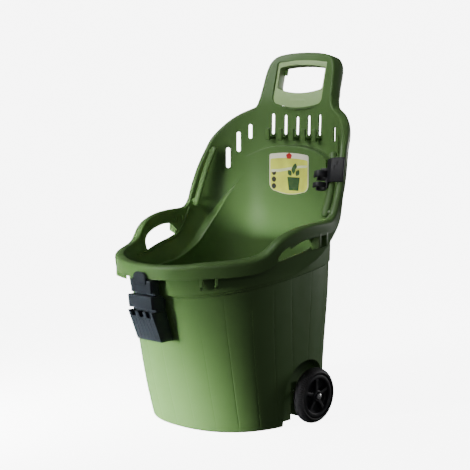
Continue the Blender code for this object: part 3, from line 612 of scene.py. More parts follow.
def soft_floor(name, colour):
    """Pale studio floor, lit from within, with a barely visible mottle."""
    mat, tree, shader, coords = new_material(name)
    mottle = blend_colours(tree, noise(tree, coords, 2.0), tint(colour, 0.985), colour)
    tree.links.new(mottle, shader.inputs["Base Color"])
    tree.links.new(mottle, shader.inputs["Emission Color"])
    shader.inputs["Emission Strength"].default_value = sizes().floor_glow
    shader.inputs["Roughness"].default_value = 0.75
    return mat


# ---- frames on the tub -------------------------------------------------------------
def panel_place(x, z):
    """Local frame on the inner face of the back panel or wing: place, along, up, normal."""
    t = angle_of(z, x=max(abs(x), 1e-4))
    here = section(UPPER, z, t)
    along = section(UPPER, z, t - 1.0) - here
    along[2] = 0.0
    along /= np.linalg.norm(along)
    normal = np.array([-along[1], along[0], 0.0])
    if x < 0:
        here[0], along[0], normal[0] = -here[0], -along[0], -normal[0]
    return tuple(here), tuple(along), (0.0, 0.0, 1.0), tuple(normal)


def wing_place(z):
    """Frame on the right wing's front edge at a height: place, along, out, beyond."""
    ys = [p[0] for p in ARCH[12:]] + [0.1630]
    zs = [p[1] for p in ARCH[12:]] + [0.6500]

    def point(height):
        y = float(np.interp(height, zs, ys))
        return section(UPPER, height, angle_of(height, y=y))
    here = point(z)
    along = point(z + 0.022) - point(z - 0.022)
    along /= np.linalg.norm(along)
    t = angle_of(z, y=here[1])
    flat = section(UPPER, z, t + 2.0) - section(UPPER, z, t - 2.0)
    out = np.cross(flat, (0.0, 0.0, 1.0))
    out -= along * out.dot(along)
    out /= np.linalg.norm(out)
    if out[0] < 0:
        out = -out
    beyond = np.cross(out, along)
    if beyond[1] > 0:
        beyond = -beyond
    return here, along, out, beyond


def handle_place():
    """Frame on the front face of the handle hoop: u right, v up the hoop, w backwards."""
    tilt = math.atan(HANDLE_LEAN)
    y = PANEL_Y + float(lean(HANDLE_Z))
    return ((0.0, y, HANDLE_Z), (1, 0, 0), (0.0, math.sin(tilt), math.cos(tilt)),
            (0.0, math.cos(tilt), -math.sin(tilt)))


def bowed(half, low, high, corner_low, corner_high, sag, steps=12):
    """Outline with a bowed bottom and top and round corners, taken anticlockwise from the lower left."""
    pts = []
    for cx, cy, radius, start in ((-1, low + sag, corner_low, 180), (1, low + sag, corner_low, 270)):
        pts += arc((cx * (half - radius), cy + radius), radius, start, start + 90, 5)
        if cx < 0:
            span = half - radius
            pts += [(-span + 2 * span * i / steps, low + sag * (abs(-1 + 2 * i / steps)) ** 2)
                    for i in range(1, steps)]
    bow = sag * 0.6
    for cx, cy, radius, start in ((1, high - bow, corner_high, 0), (-1, high - bow, corner_high, 90)):
        pts += arc((cx * (half - radius), cy - radius), radius, start, start + 90, 5)
        if cx > 0:
            span = half - radius
            pts += [(span - 2 * span * i / steps, high - bow * (abs(1 - 2 * i / steps)) ** 2)
                    for i in range(1, steps)]
    return pts


def insert_outline(grow=0.0):
    """Outer outline of the grip insert."""
    return bowed(0.0785 + grow, -0.0640 - grow, 0.0530 + grow, 0.018, 0.005, 0.0085)


# ---- the tub -----------------------------------------------------------------------
def tub_shell(mat):
    """The one-piece shell from the floor, over the rolled lip and down the outside."""
    rows = tub_rows()
    half = len(rows[0])
    verts = []
    for i in list(range(half)) + list(range(half - 2, 0, -1)):
        side = 1 if len(verts) < half * len(rows) else -1
        verts += [(side * row[i][0], row[i][1], row[i][2]) for row in rows]
    m = len(rows)
    count = len(verts) // m
    faces = []
    for i in range(count):
        j = (i + 1) % count
        faces += [[i * m + k, j * m + k, j * m + k + 1, i * m + k + 1] for k in range(m - 1)]
    faces.append([i * m for i in range(count)])
    faces.append([i * m + m - 1 for i in range(count)][::-1])
    return add_mesh("tub_moulding", verts, faces, mat)


def base_block():
    """The lower tub as a closed block, for trimming the wheel housings."""
    angles = np.linspace(-90, 90, 91)
    verts, faces = [], []
    levels = ((0.0001, 0.0048), (0.004, 0.0018), (0.009, 0.0004), (0.08, 0.0004), (0.20, 0.0004))
    for z, inset in levels:
        ring = section(LOWER, z, angles, sizes().wall - inset)
        verts += [tuple(p) for p in ring] + [(-p[0], p[1], p[2]) for p in ring[-2:0:-1]]
    n = 2 * len(angles) - 2
    for i in range(len(levels) - 1):
        faces += [[i * n + k, i * n + (k + 1) % n, (i + 1) * n + (k + 1) % n, (i + 1) * n + k]
                  for k in range(n)]
    faces.append(list(range(n))[::-1])
    faces.append([(len(levels) - 1) * n + k for k in range(n)])
    return add_mesh("base_form", verts, faces)


def wheel_housings(tub):
    """Wheel wells and the axle tunnel under the floor."""
    along_x = ((0, 0, 0), (0, 1, 0), (0, 0, 1), (1, 0, 0))
    wall = sizes().wall

    def arch_form(name, radius, inner_x, foot):
        outline = arc((AXLE_Y, AXLE_Z), radius, 0, 180, 40)
        outline += [(AXLE_Y - radius, foot), (AXLE_Y + radius, foot)]
        return prism(name, outline, (inner_x, 0.30), along_x)
    clear, skin = TUNNEL_HALF
    foot = 0.0002
    form = arch_form("well_form", WELL_R + wall, WELL_X - wall, foot)
    carve(form, base_block(), "INTERSECT")
    carve(form, mirrored(form), "UNION")
    tunnel = block("tunnel_form", (-0.1715, AXLE_Y - skin, foot), (0.1715, AXLE_Y + skin, TUNNEL_TOP[1]))
    carve(form, tunnel, "UNION")
    carve(tub, form, "UNION")
    cut = arch_form("well_cut", WELL_R, WELL_X, -0.05)
    carve(tub, mirrored(cut))
    carve(tub, cut)
    carve(tub, block("tunnel_cut", (-0.17, AXLE_Y - clear, -0.05), (0.17, AXLE_Y + clear, TUNNEL_TOP[0])))
    webs = []
    for side in (1, -1):
        x = side * WEB_X
        web = block("axle_web", (x - 0.003, AXLE_Y - 0.0195, 0.030), (x + 0.003, AXLE_Y + 0.0195, 0.0875))
        hole = ring_points(AXLE_HOLE_R, 24, (AXLE_Y, AXLE_Z))
        carve(web, prism("axle_hole", hole, (x - 0.01, x + 0.01), along_x))
        webs.append(web)
    return webs


def grip_holes(tub):
    """Side grip openings under the arched rim."""
    low_y, high_y = np.linspace(-0.080, 0.030, 15), np.linspace(0.034, -0.083, 22)
    low = smooth((-0.083, -0.056, -0.028, 0.006, 0.032), (0.3745, 0.3815, 0.3885, 0.3960, 0.4040), low_y)
    high = smooth((-0.083, -0.075, -0.056, -0.028, 0.002, 0.020, 0.034),
                  (0.395, 0.4060, 0.4165, 0.4252, 0.4295, 0.4280, 0.4150), high_y)
    outline = list(zip(low_y, low)) + [(0.0338, 0.4078)] + list(zip(high_y, high)) + [(-0.0832, 0.380)]
    for side in (1, -1):
        place = ((0, 0, 0), (0, 1, 0), (0, 0, 1), (side, 0, 0))
        carve(tub, prism("grip_hole", outline, (0.185, 0.2325), place))


def panel_slots(tub):
    """Slots through the back panel and the wings."""
    for x, top in zip(HOOK_X, HOOK_SLOT_TOP):
        middle = (0.0, (top + HOOK_SLOT_LOW) / 2 - HOOK_SLOT_MIDDLE)
        outline = round_rect(0.0045, (top - HOOK_SLOT_LOW) / 2, 0.0044, 6, middle)
        carve(tub, prism("hook_slot", outline, (-0.02, 0.02), panel_place(x, HOOK_SLOT_MIDDLE)))
    for x, low, high in WING_SLOTS:
        place = panel_place(x, (low + high) / 2)
        slot = prism("wing_slot", round_rect(0.005, (high - low) / 2, 0.0049, 8), (-0.02, 0.014), place)
        carve(tub, mirrored(slot))
        carve(tub, slot)


def tool_hooks():
    """Upturned hooks under the slots of the back panel."""
    outline = [(0.0012, 0.6320), (-0.0130, 0.6320), (-0.0150, 0.6285)]
    outline += arc((-0.0180, 0.6316), 0.0034, 265, 180, 4)
    outline += [(-0.0214, 0.6530)] + arc((-0.0184, 0.6556), 0.0030, 175, 5, 8)
    outline += [(-0.0152, 0.6405)] + arc((-0.0122, 0.6402), 0.0030, 180, 265, 4) + [(0.0012, 0.6372)]
    pieces = []
    for x in HOOK_X:
        here = section(UPPER, HOOK_Z, angle_of(HOOK_Z, x=max(abs(x), 1e-4)))
        place = ((0, here[1], 0), (0, 1, 0), (0, 0, 1), (1, 0, 0))
        pieces.append(soften(prism("tool_hook", outline, (x - 0.0060, x + 0.0060), place), 0.0016, 4))
    return pieces


def socket_fins():
    """Pairs of small fins under the rim."""
    pieces = []
    for y, z0, level in SOCKET_FINS:
        t = angle_of(level + 0.005 if y < 0 else level, y=y)
        here = section(UPPER, level, t, sizes().wall)
        flat = section(UPPER, level, t + 1) - section(UPPER, level, t - 1)
        out = np.cross(flat, (0.0, 0.0, 1.0))
        out /= np.linalg.norm(out)
        side = np.cross((0.0, 0.0, 1.0), out)
        fin = [(-0.0022, z0 - 0.0320), (0.0050, z0 - 0.0300), (0.0190, z0 - 0.0245), (0.0214, z0 - 0.0220),
               (0.0214, z0 + 0.0060), (-0.0022, z0 + 0.0110)]
        place = (tuple(here), tuple(out), (0, 0, 1), tuple(side))
        piece = prism("socket_fin", [(u, v - level) for u, v in fin], (-0.0028, 0.0028), place)
        soften(piece, 0.0007)
        pieces += [piece, mirrored(piece)]
    return pieces


def edge_rails():
    """Round rails inside the wings on their feet, and the low ridge that runs on over the grips."""
    path = []
    for z in (0.474, 0.500, 0.528, 0.556, 0.584, 0.610):
        here, _, out, beyond = wing_place(z)
        path.append(here - out * RAIL_IN - beyond * RAIL_BACK)
    out = wing_place(0.54)[2]
    pieces = [rod("edge_rail", path, RAIL_R, 28, (tuple(out), RAIL_WIDE))]
    inner = -RAIL_IN - 0.002
    outline = [(inner, -0.0092), (0.0016, -0.0092), (0.0016, -0.0020), (inner, -0.0020)]
    for z in (0.4825, 0.602):
        here, along, out, beyond = wing_place(z)
        foot = prism("rail_foot", outline, (-0.0035, 0.0035), (here, out, beyond, along))
        pieces.append(soften(foot, 0.0008))
    ridge = []
    for y, z in ((-0.128, 0.3700), (-0.105, 0.3705), (-0.070, 0.3740), (-0.045, 0.3805), (-0.015, 0.3885),
                 (0.012, 0.3930), (0.033, 0.4015), (0.055, 0.4190), (0.073, 0.4420), (0.086, 0.4620)):
        ridge.append(section(UPPER, z, angle_of(z, y=y), 0.0004))
    pieces.append(rod("grip_ridge", ridge, 0.0030, 14))
    return pieces + [mirrored(p) for p in pieces]


def hoop_collar():
    """Collar behind the hoop's face that holds the insert, with its snap tab."""
    place = handle_place()
    collar = prism("insert_collar", insert_outline(0.0036), (0.0005, HOOP_DEPTH), place)
    tab = prism("snap_tab", round_rect(0.0045, 0.0090, 0.0020, 3, (-0.0672, 0.0290)), (0.0160, 0.0212), place)
    return collar, soften(tab, 0.0006)


def build_tub():
    """The moulded tub with all that is moulded in it."""
    green = moulded("tub_plastic", colours().tub, 0.40, grain=0.16, vary=0.05, coat=0.06)
    tub = tub_shell(green)
    webs = wheel_housings(tub)
    grip_holes(tub)
    panel_slots(tub)
    collar, tab = hoop_collar()
    carve(tub, collar, "UNION")
    carve(tub, prism("insert_seat", insert_outline(GAP), (-0.02, 0.035), handle_place()))
    join(tub, webs + tool_hooks() + socket_fins() + edge_rails() + [tab])
    finish_mesh(tub)
    tub.data.materials.clear()
    tub.data.materials.append(green)
    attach(tub, "cart")
    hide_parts("tub_body")


# ---- grip insert and label ---------------------------------------------------------
def build_insert():
    """Light grip insert with its arched opening and a plain raised badge field."""
    light = moulded("insert_plastic", colours().insert, 0.42, grain=0.12, vary=0.04, coat=0.08)
    place = handle_place()
    body = prism("grip_insert", insert_outline(), (-0.0016, HOOP_DEPTH), place, light)
    opening = bowed(0.0715, -0.0275, 0.0410, 0.0085, 0.0045, 0.0085)
    carve(body, prism("grip_opening", opening, (-0.02, 0.04), place))
    soften(body, 0.0016, 3)
    field = round_rect(0.0240, 0.0040, 0.0039, 6, (0.0, -0.0465))
    join(body, [soften(prism("badge_field", field, (-0.0021, -0.0010), place, light), 0.0003)])
    finish_mesh(body)
    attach(body, "cart")
    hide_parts("handle_insert")


def on_label(u, v, lift):
    """Point on the label: u across, v up from its middle, lift off the panel."""
    z = LABEL_Z + v
    half, squareness = [float(smooth(LOWER[:, 0], LOWER[:, k], z)) for k in (1, 6)]
    t = math.degrees(math.acos(min(1.0, (abs(u) / half) ** (squareness / 2))))
    return (u, section(LOWER, z, t, -lift)[1], z)


def patch(name, outline, low, high, mat):
    """A thin flat print or card of a given outline, laid on the curved panel."""
    n = len(outline)
    centre = (sum(p[0] for p in outline) / n, sum(p[1] for p in outline) / n)
    verts, faces = [], []
    shares = (1.0, 0.66, 0.33)
    for lift in (low, high):
        for share in shares:
            verts += [on_label(centre[0] + (u - centre[0]) * share, centre[1] + (v - centre[1]) * share, lift)
                      for u, v in outline]
        verts.append(on_label(*centre, lift))
    layer = n * len(shares) + 1
    for level in (0, 1):
        base = level * layer
        for s in range(len(shares) - 1):
            faces += [[base + s * n + i, base + s * n + (i + 1) % n, base + (s + 1) * n + (i + 1) % n,
                       base + (s + 1) * n + i] for i in range(n)]
        inner = base + (len(shares) - 1) * n
        faces += [[inner + i, inner + (i + 1) % n, base + layer - 1] for i in range(n)]
    faces += [[i, (i + 1) % n, layer + (i + 1) % n, layer + i] for i in range(n)]
    piece = add_mesh(name, verts, faces, mat)
    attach(piece, "cart")
    return piece


def label_outline(grow=0.0):
    """Outline of the label: bowed top, rounder bottom corners."""
    return bowed(0.0625 + grow, -0.0500 - grow, 0.0500 + grow, 0.0200, 0.0060, 0.0060)


def build_label():
    """Printed card on the back panel: a plain garden scene with no lettering."""
    paper = printed("card_cream", colours().paper, tint(colours().paper, 1.06))
    field = printed("ink_field", colours().field, tint(colours().field, 1.35), 26.0)
    pale = printed("ink_pale", (0.80, 0.82, 0.52), (0.72, 0.77, 0.40), 40.0)
    leaf = printed("ink_leaf", (0.035, 0.085, 0.035), (0.060, 0.120, 0.045), 120.0)
    dark = printed("ink_dark", (0.030, 0.034, 0.030), (0.045, 0.050, 0.040), 120.0)
    berry = printed("ink_berry", (0.48, 0.035, 0.030), (0.56, 0.060, 0.045), 90.0)
    card = patch("label_card", label_outline(), 0.0004, 0.0010, paper)
    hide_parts("label")
    panel = [(u * 0.955, v * 0.86 - 0.0055) for u, v in label_outline()]
    patch("label_field", panel, 0.00105, 0.00120, field)
    # a pale band, low at the left and high at the right
    rise = [math.sin(math.pi * k / 24) ** 2 for k in range(13)]
    hill = [(-0.0570, 0.0070)]
    hill += [(-0.057 + 0.114 * k / 12, 0.0085 + 0.0135 * rise[k]) for k in range(13)]
    hill += [(0.0570, 0.0175)]
    hill += [(0.057 - 0.114 * k / 12, 0.0165 - 0.0155 * rise[k]) for k in range(13)]
    patch("label_band", hill, 0.00125, 0.00135, pale)
    for k in range(3):
        dot = ring_points(0.0068, 24, (-0.0480, 0.0010 - 0.0165 * k))
        patch("label_dot_%d" % (k + 1), dot, 0.00125, 0.00140, dark)
    # a plain plant in a tub
    pot = [(0.0000, -0.0400), (0.0300, -0.0400), (0.0350, -0.0080), (-0.0050, -0.0080)]
    patch("label_pot", pot, 0.00140, 0.00155, leaf)
    for k, (u, v, tall, turn) in enumerate(((0.015, 0.010, 0.022, 0), (0.003, 0.002, 0.017, 38),
                                            (0.028, 0.003, 0.018, -34), (0.020, 0.018, 0.016, -14))):
        a = math.radians(turn)
        blade = [(0.0062 * math.sin(math.pi * i / 10) * side, -tall * 0.5 + tall * i / 10)
                 for side, span in ((1, range(0, 11)), (-1, range(9, 0, -1))) for i in span]
        blade = [(u + p * math.cos(a) - q * math.sin(a), v + p * math.sin(a) + q * math.cos(a))
                 for p, q in blade]
        patch("label_leaf_%d" % (k + 1), blade, 0.00160 + 0.0001 * k, 0.00175 + 0.0001 * k, leaf)
    # a small flower on the top edge
    for k in range(5):
        a = math.radians(90 + 72 * k)
        petal = ring_points(0.0042, 14, (0.0050 * math.cos(a), 0.0425 + 0.0034 * math.sin(a)))
        patch("label_petal_%d" % (k + 1), petal, 0.00110 + 0.00005 * k, 0.00125 + 0.00005 * k, berry)


# ---- clip, holster, wheels ---------------------------------------------------------
def build_clip():
    """Spring clip on the right rail: a sleeve, a plate over the wing's lip and two open jaws."""
    black = moulded("clip_plastic", tint(colours().black, 0.7), 0.42, grain=0.14, vary=0.12)
    here, along, out, beyond = wing_place(CLIP_Z)
    place = (here, out, beyond, along)
    axis = (-RAIL_IN, -RAIL_BACK)
    bore, skin = (RAIL_WIDE + 0.0008, 0.0070), (RAIL_WIDE + 0.0032, 0.0096)

    def oval(half, start, end):
        turns = [math.radians(start + (end - start) * i / 24) for i in range(25)]
        return [(axis[0] + half[0] * math.cos(a), axis[1] + half[1] * math.sin(a)) for a in turns]
    sleeve = oval(skin, -78, -235)
    sleeve += [(-0.0150, 0.0086), (0.0130, 0.0082)] + arc((0.0136, 0.0060), 0.0022, 80, -30, 5)
    sleeve += [(0.0152, 0.0040), (0.0126, 0.0060), (-0.0120, 0.0060)]
    sleeve += oval(bore, 112, 282)
    body = prism("clip_body", sleeve, (-0.0290, 0.0290), place, black)
    soften(body, 0.0008, 2, 50.0)
    for outline in (round_rect(0.0016, 0.0060, 0.0015, 4, (-0.0065, 0.0040)),
                    round_rect(0.0018, 0.0048, 0.0017, 4, (0.0000, 0.0140))):
        carve(body, prism("clip_slot", outline, (0.0075, 0.0120), (here, out, along, beyond)))
    centre = (-RAIL_IN - 0.0058 - 0.0016 - 0.0175, -0.0040)
    pieces = []
    for low, high in ((-0.0160, 0.0000), (-0.0400, -0.0280)):
        ring = arc(centre, 0.0167, -142, 142, 30) + arc(centre, 0.0131, 142, -142, 30)
        pieces.append(soften(prism("clip_jaw", ring, (low, high), place), 0.0007, 2, 50.0))
        for turn in (1, -1):
            tip = (centre[0] + 0.0150 * math.cos(math.radians(142)),
                   centre[1] + turn * 0.0150 * math.sin(math.radians(142)))
            bead = ring_points(0.0027, 16, tip)
            pieces.append(prism("clip_tip", bead, (low + 0.0004, high - 0.0004), place))
    bar = round_rect(0.0105, 0.0042, 0.0012, 3, (centre[0] + 0.0085, -0.0055))
    pieces.append(soften(prism("clip_finger", bar, (0.0006, 0.0085), place), 0.0007))
    web = round_rect(0.0030, 0.0060, 0.0010, 3, (centre[0] + 0.0165, -0.0040))
    pieces.append(prism("clip_web", web, (-0.0398, -0.0150), place))
    join(body, pieces)
    finish_mesh(body)
    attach(body, "clip")
    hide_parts("rail_clip")


def build_holster():
    """Stepped tool holster on the front rim: tongue, two tiers, a comb and a fluted pocket."""
    black = moulded("holster_plastic", colours().holster, 0.38, grain=0.16, vary=0.10)
    low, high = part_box("front_holster")
    left, right = low.x, high.x
    middle = (left + right) / 2
    sideways = ((0, 0, 0), (0, 1, 0), (0, 0, 1), (1, 0, 0))
    upper = [(-0.2600, 0.3470), (-0.2780, 0.3480), (-0.2852, 0.3468), (-0.2826, 0.3190), (-0.2720, 0.3190),
             (-0.2720, 0.3120), (-0.2560, 0.3120)]
    tier = [(-0.2560, 0.3140), (-0.2868, 0.3140), (-0.2882, 0.3118), (-0.2848, 0.2852), (-0.2720, 0.2845),
            (-0.2720, 0.2780), (-0.2440, 0.2780), (-0.2428, 0.3030)]
    pocket = [(-0.2440, 0.2785), (-0.2720, 0.2785), (-0.2720, 0.2790), (-0.2865, 0.2790), (-0.2590, 0.2116),
              (-0.2580, 0.2110), (-0.2228, 0.2110)]
    body = prism("holster_body", upper, (left + 0.0070, right - 0.0060), sideways, black)
    soften(body, 0.0012)
    tier_piece = soften(prism("holster_tier", tier, (left + 0.0015, right - 0.0010), sideways), 0.0014)
    pocket_piece = prism("holster_pocket", pocket, (left, right), sideways)
    hollow = [(-0.2825, 0.2850), (-0.2552, 0.2140), (-0.2270, 0.2140), (-0.2450, 0.2755), (-0.2600, 0.2765),
              (-0.2705, 0.2765), (-0.2705, 0.2850)]
    carve(pocket_piece, prism("holster_hollow", hollow, (left + 0.0030, right - 0.0030), sideways))
    forwards = ((0, 0, 0), (1, 0, 0), (0, 0, 1), (0, -1, 0))
    for shift in (-0.0240, 0.0, 0.0240):
        x = middle + shift
        notch = [(x - 0.0080, 0.2850), (x - 0.0070, 0.2680), (x - 0.0050, 0.2655),
                 (x + 0.0050, 0.2655), (x + 0.0070, 0.2680), (x + 0.0080, 0.2850)]
        carve(pocket_piece, prism("comb_notch", notch, (0.2730, 0.3100), forwards))
    soften(pocket_piece, 0.0009)
    tongue = [(-0.0190, 0.3385), (0.0190, 0.3385), (0.0190, 0.3520)] + arc((0.0070, 0.3530), 0.0120, 0, 80, 6)
    tongue += arc((-0.0070, 0.3530), 0.0120, 100, 180, 6) + [(-0.0190, 0.3520)]
    tongue_piece = prism("holster_tongue", tongue, (0.2812, 0.2885), ((middle, 0, 0),) + forwards[1:])
    pieces = [tier_piece, pocket_piece, soften(tongue_piece, 0.0014)]
    # flutes down the pocket's sloping front
    slope = Vector((0, -0.2590, 0.2116)) - Vector((0, -0.2865, 0.2790))
    length = slope.length
    down = slope.normalized()
    face_out = Vector((0, down.z, -down.y))
    for k in range(7):
        x = left + 0.0060 + (right - left - 0.0120) * k / 6
        bar = round_rect(0.0011, length * 0.36, 0.0010, 2, (0.0, length * 0.57))
        start = Vector((x, -0.2865, 0.2790))
        pieces.append(prism("holster_flute", bar, (-0.0006, 0.0007), (start, (1, 0, 0), down, face_out)))
    join(body, pieces)
    finish_mesh(body)
    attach(body, "cart")
    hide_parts("front_holster")


def wheel_disc(side, mat):
    """Wheel disc: deep hub, shaped spokes over a recessed web and a rounded rim."""
    h = WHEEL_W / 2
    c = (side * WHEEL_X, AXLE_Y, AXLE_Z)
    profile = [(0.0050, -h + 0.001), (0.0125, -h + 0.001), (0.0145, -0.0035), (0.0400, -0.0035),
               (0.0440, -h + 0.002), (0.0500, -h + 0.002), (0.0500, h - 0.0045), (0.0478, h - 0.0018),
               (0.0450, h - 0.0010), (0.0418, h - 0.0012), (0.0398, h - 0.0034), (0.0386, 0.0030),
               (0.0366, 0.0012), (0.0160, 0.0012), (0.0140, 0.0040), (0.0128, h - 0.0030),
               (0.0110, h - 0.0014), (0.0092, h - 0.0014), (0.0086, h - 0.0040), (0.0050, h - 0.0040)]
    name = "wheel_disc_" + ("right" if side > 0 else "left")
    disc = turned(name, [(r, s * side) for r, s in profile], 72, c, mat)
    pieces = []
    count = sizes().spokes
    for k in range(count):
        a = math.radians(90 + 360 / count * k)
        u, v = (0.0, math.cos(a), math.sin(a)), (0.0, -math.sin(a), math.cos(a))
        outline = [(0.0110, -0.0052), (0.0200, -0.0036), (0.0320, -0.0034), (0.0405, -0.0062),
                   (0.0405, 0.0062), (0.0320, 0.0034), (0.0200, 0.0036), (0.0110, 0.0052)]
        spoke = prism("wheel_spoke", outline, (0.0008, h - 0.0042), (c, u, v, (side, 0, 0)))
        pieces.append(soften(spoke, 0.0010, 3, 30.0))
    join(disc, pieces)
    return finish_mesh(disc)


def tyre_band(side, mat):
    """Tyre band: crowned tread, ribbed shoulders and a smooth sidewall."""
    h = WHEEL_W / 2
    c = (side * WHEEL_X, AXLE_Y, AXLE_Z)
    ribs = sizes().tread_ribs
    steps = ribs * 4
    crown = [(0.0505, -h + 0.0006), (0.0535, -h)]
    for k in range(13):
        a = math.radians(-72 + 144 * k / 12)
        crown.append((WHEEL_R - 0.0150 + 0.0150 * math.cos(a) ** 0.9,
                      (h - 0.0005) * math.sin(a) / math.sin(math.radians(72))))
    crown += [(0.0535, h), (0.0505, h - 0.0006)]
    verts, faces = [], []
    n = len(crown)
    for i in range(steps):
        a = 2 * math.pi * i / steps
        groove = 1.0 if i % 4 in (0, 1) else 0.0
        for k, (r, s) in enumerate(crown):
            shoulder = 0.0009 if 3 <= k <= 5 or n - 6 <= k <= n - 4 else 0.0
            r = r - shoulder * groove
            verts.append((c[0] + s * side, c[1] + r * math.cos(a), c[2] + r * math.sin(a)))
    for i in range(steps):
        j = (i + 1) % steps
        faces += [[i * n + k, j * n + k, j * n + (k + 1) % n, i * n + (k + 1) % n] for k in range(n)]
    tyre = add_mesh("tyre_band_" + ("right" if side > 0 else "left"), verts, faces, mat)
    return finish_mesh(tyre, 40.0)


def build_wheels():
    """Both wheels with their tyres."""
    black = moulded("wheel_plastic", tint(colours().black, 0.9), 0.45, grain=0.14, vary=0.10)
    rubber = moulded("tyre_rubber", colours().tyre, 0.58, grain=0.30, vary=0.14, grain_scale=1400.0,
                     specular=0.4)
    for side, word in ((1, "right"), (-1, "left")):
        disc, tyre = wheel_disc(side, black), tyre_band(side, rubber)
        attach(disc, word + "_wheel")
        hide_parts("wheel_" + word)
        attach(tyre, word + "_wheel")
        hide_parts("tyre_" + word)


def build_fittings():
    """Axle and washers in bright steel, and domed slotted caps on the axle ends."""
    steel = bright_metal("fitting_steel", colours().steel)
    for name in ("axle", "washer_right", "washer_left"):
        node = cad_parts[name]
        node.data.materials.clear()
        node.data.materials.append(steel)
    for side, word in ((1, "right"), (-1, "left")):
        low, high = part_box("end_cap_" + word)
        outer = high.x if side > 0 else -low.x
        inner = low.x if side > 0 else -high.x
        core = outer - inner - 0.0016
        dome = [(0.0046, 0.0), (0.0068, 0.0), (0.0071, 0.0006), (0.0070, 0.0020), (0.0060, 0.0036),
                (0.0044, 0.0046), (0.0022, 0.0050), (0.0, 0.0051), (0.0, core), (0.0046, core)]
        middle = (side * inner, AXLE_Y, AXLE_Z)
        cap = turned("axle_cap_" + word, [(r, s * side) for r, s in dome], 40, middle, steel)
        near, far = sorted((side * (outer - 0.0008), side * (outer + 0.01)))
        carve(cap, block("cap_slot", (near, AXLE_Y - 0.0042, AXLE_Z - 0.0007),
                         (far, AXLE_Y + 0.0042, AXLE_Z + 0.0007)))
        finish_mesh(cap, 40.0)
        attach(cap, "cart")
        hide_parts("end_cap_" + word)


# ---- studio ------------------------------------------------------------------------
CAMERA_PLACE = (2.0126, -2.0840, 0.7650)
CAMERA_TURN = 43.765        # degrees round Z
CAMERA_DOWN = 6.81          # degrees below level
CAMERA_ROLL = -0.109        # degrees round its own axis
CAMERA_LENS = 96.88         # millimetres
AIR_GLOW = 0.06             # strength of the even light from all round


def area_light(name, place, target, size, power):
    """A soft square light aimed at a point."""
    light = bpy.data.lights.new(name, "AREA")
    light.shape = "SQUARE"
    light.size = size
    light.energy = power
    lamp = bpy.data.objects.new(name, light)
    bpy.context.scene.collection.objects.link(lamp)
    lamp.location = place
    lamp.rotation_euler = (Vector(target) - Vector(place)).to_track_quat("-Z", "Y").to_euler()
    return lamp


def build_stage():
    """Pale floor and sweep, soft lights and the camera."""
    floor_mat = soft_floor("studio_floor", (0.90, 0.90, 0.90))
    profile = [(0.0, 0.0), (1.5, 0.0), (3.0, 0.0)] + arc((3.4, 1.6), 1.6, 270, 360, 16)
    profile += [(5.0, 3.0), (5.0, 7.0)]
    bm = bmesh.new()
    line = [bm.verts.new((radius, 0.0, height)) for radius, height in profile]
    edges = [bm.edges.new(pair) for pair in zip(line, line[1:])]
    bmesh.ops.spin(bm, geom=line + edges, cent=(0, 0, 0), axis=(0, 0, 1), angle=2 * math.pi, steps=96)
    bmesh.ops.remove_doubles(bm, verts=bm.verts, dist=1e-4)
    bmesh.ops.recalc_face_normals(bm, faces=bm.faces)
    mesh = bpy.data.meshes.new("studio_sweep")
    bm.to_mesh(mesh)
    bm.free()
    mesh.materials.append(floor_mat)
    floor = bpy.data.objects.new("studio_sweep", mesh)
    bpy.context.scene.collection.objects.link(floor)
    for face in mesh.polygons:
        face.use_smooth = True
    floor.visible_shadow = False
    floor.visible_diffuse = False
    floor.visible_glossy = False
    key = area_light("key_light", (-0.52, -1.75, 0.24), (-0.38, -0.30, -0.10), 0.40, 26)
    key.data.spread = math.radians(45)
    key.visible_glossy = False
    upper = area_light("upper_light", (-0.25, -2.20, 1.75), (0.0, 0.25, 1.05), 0.6, 4)
    upper.data.spread = math.radians(52)
    upper.visible_glossy = False
    area_light("front_light", (2.1, -1.9, 1.3), (0.0, 0.1, 0.45), 0.35, 4)
    area_light("top_light", (-1.1, -1.6, 2.5), (0, 0.0, 0.5), 0.9, 27)
    area_light("side_light", (1.1, 2.8, 0.8), (0.1, 0.1, 0.3), 1.2, 30)
    world = bpy.data.worlds.new("studio_air")
    world.use_nodes = True
    air = world.node_tree.nodes["Background"]
    air.inputs["Color"].default_value = (1.0, 1.0, 1.0, 1.0)
    air.inputs["Strength"].default_value = AIR_GLOW
    bpy.context.scene.world = world
    camera = bpy.data.cameras.new("studio_camera")
    camera.lens = CAMERA_LENS
    camera.sensor_width = 36.0
    eye = bpy.data.objects.new("studio_camera", camera)
    bpy.context.scene.collection.objects.link(eye)
    turn = Matrix.Rotation(math.radians(CAMERA_TURN), 4, "Z")
    tilt = Matrix.Rotation(math.radians(90 - CAMERA_DOWN), 4, "X")
    roll = Matrix.Rotation(math.radians(CAMERA_ROLL), 4, "Z")
    eye.matrix_world = Matrix.Translation(CAMERA_PLACE) @ (turn @ tilt) @ roll
    bpy.context.scene.camera = eye


# ---- operators and panel -----------------------------------------------------------
class CART_OT_tub(Operator):
    """Build the moulded tub"""
    bl_idname = "cart.tub"
    bl_label = "Tub"

    def execute(self, context):
        build_tub()
        return {"FINISHED"}


class CART_OT_insert(Operator):
    """Build the grip insert"""
    bl_idname = "cart.insert"
    bl_label = "Grip Insert"

    def execute(self, context):
        build_insert()
        return {"FINISHED"}


class CART_OT_label(Operator):
    """Build the printed label"""
    bl_idname = "cart.label"
    bl_label = "Label"

    def execute(self, context):
        build_label()
        return {"FINISHED"}


class CART_OT_clip(Operator):
    """Build the rail clip"""
    bl_idname = "cart.clip"
    bl_label = "Rail Clip"

    def execute(self, context):
        build_clip()
        return {"FINISHED"}


class CART_OT_holster(Operator):
    """Build the front tool holster"""
    bl_idname = "cart.holster"
    bl_label = "Tool Holster"

    def execute(self, context):
        build_holster()
        return {"FINISHED"}


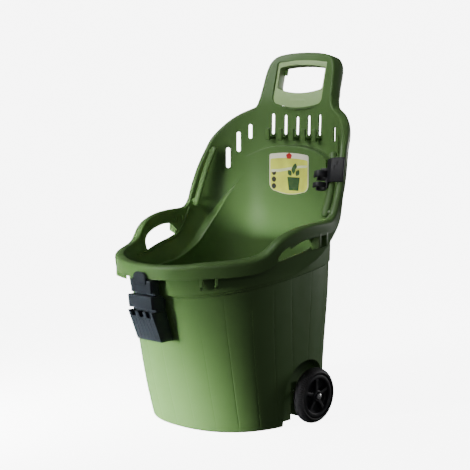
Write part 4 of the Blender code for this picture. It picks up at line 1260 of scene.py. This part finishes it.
class CART_OT_wheels(Operator):
    """Build the wheels and tyres"""
    bl_idname = "cart.wheels"
    bl_label = "Wheels"

    def execute(self, context):
        build_wheels()
        return {"FINISHED"}


class CART_OT_fittings(Operator):
    """Build the axle caps and finish the steel parts"""
    bl_idname = "cart.fittings"
    bl_label = "Axle Fittings"

    def execute(self, context):
        build_fittings()
        return {"FINISHED"}


class CART_OT_stage(Operator):
    """Build the studio: floor, lights and camera"""
    bl_idname = "cart.stage"
    bl_label = "Studio"

    def execute(self, context):
        build_stage()
        return {"FINISHED"}


OPERATORS = (CART_OT_stage, CART_OT_tub, CART_OT_insert, CART_OT_label, CART_OT_clip, CART_OT_holster,
             CART_OT_wheels, CART_OT_fittings)


class CART_PT_panel(Panel):
    """Sidebar panel that lists the cart's pieces"""
    bl_label = "Garden Cart"
    bl_idname = "CART_PT_panel"
    bl_space_type = "VIEW_3D"
    bl_region_type = "UI"
    bl_category = "Garden Cart"

    def draw(self, context):
        layout = self.layout
        for group in (context.scene.cart_sizes, context.scene.cart_colours):
            column = layout.column(align=True)
            for name in group.__annotations__:
                column.prop(group, name)
        column = layout.column(align=True)
        for operator in OPERATORS:
            column.operator(operator.bl_idname)


CLASSES = (CartSizes, CartColours) + OPERATORS + (CART_PT_panel,)


def register():
    """Register the classes and the scene's properties."""
    for cls in CLASSES:
        bpy.utils.register_class(cls)
    bpy.types.Scene.cart_sizes = PointerProperty(type=CartSizes)
    bpy.types.Scene.cart_colours = PointerProperty(type=CartColours)


def unregister():
    """Remove the scene's properties and the classes."""
    del bpy.types.Scene.cart_colours
    del bpy.types.Scene.cart_sizes
    for cls in reversed(CLASSES):
        bpy.utils.unregister_class(cls)


def main():
    """Build every piece."""
    register()
    bpy.ops.cart.stage()
    bpy.ops.cart.tub()
    bpy.ops.cart.insert()
    bpy.ops.cart.label()
    bpy.ops.cart.clip()
    bpy.ops.cart.holster()
    bpy.ops.cart.wheels()
    bpy.ops.cart.fittings()


if __name__ == "__main__":
    main()
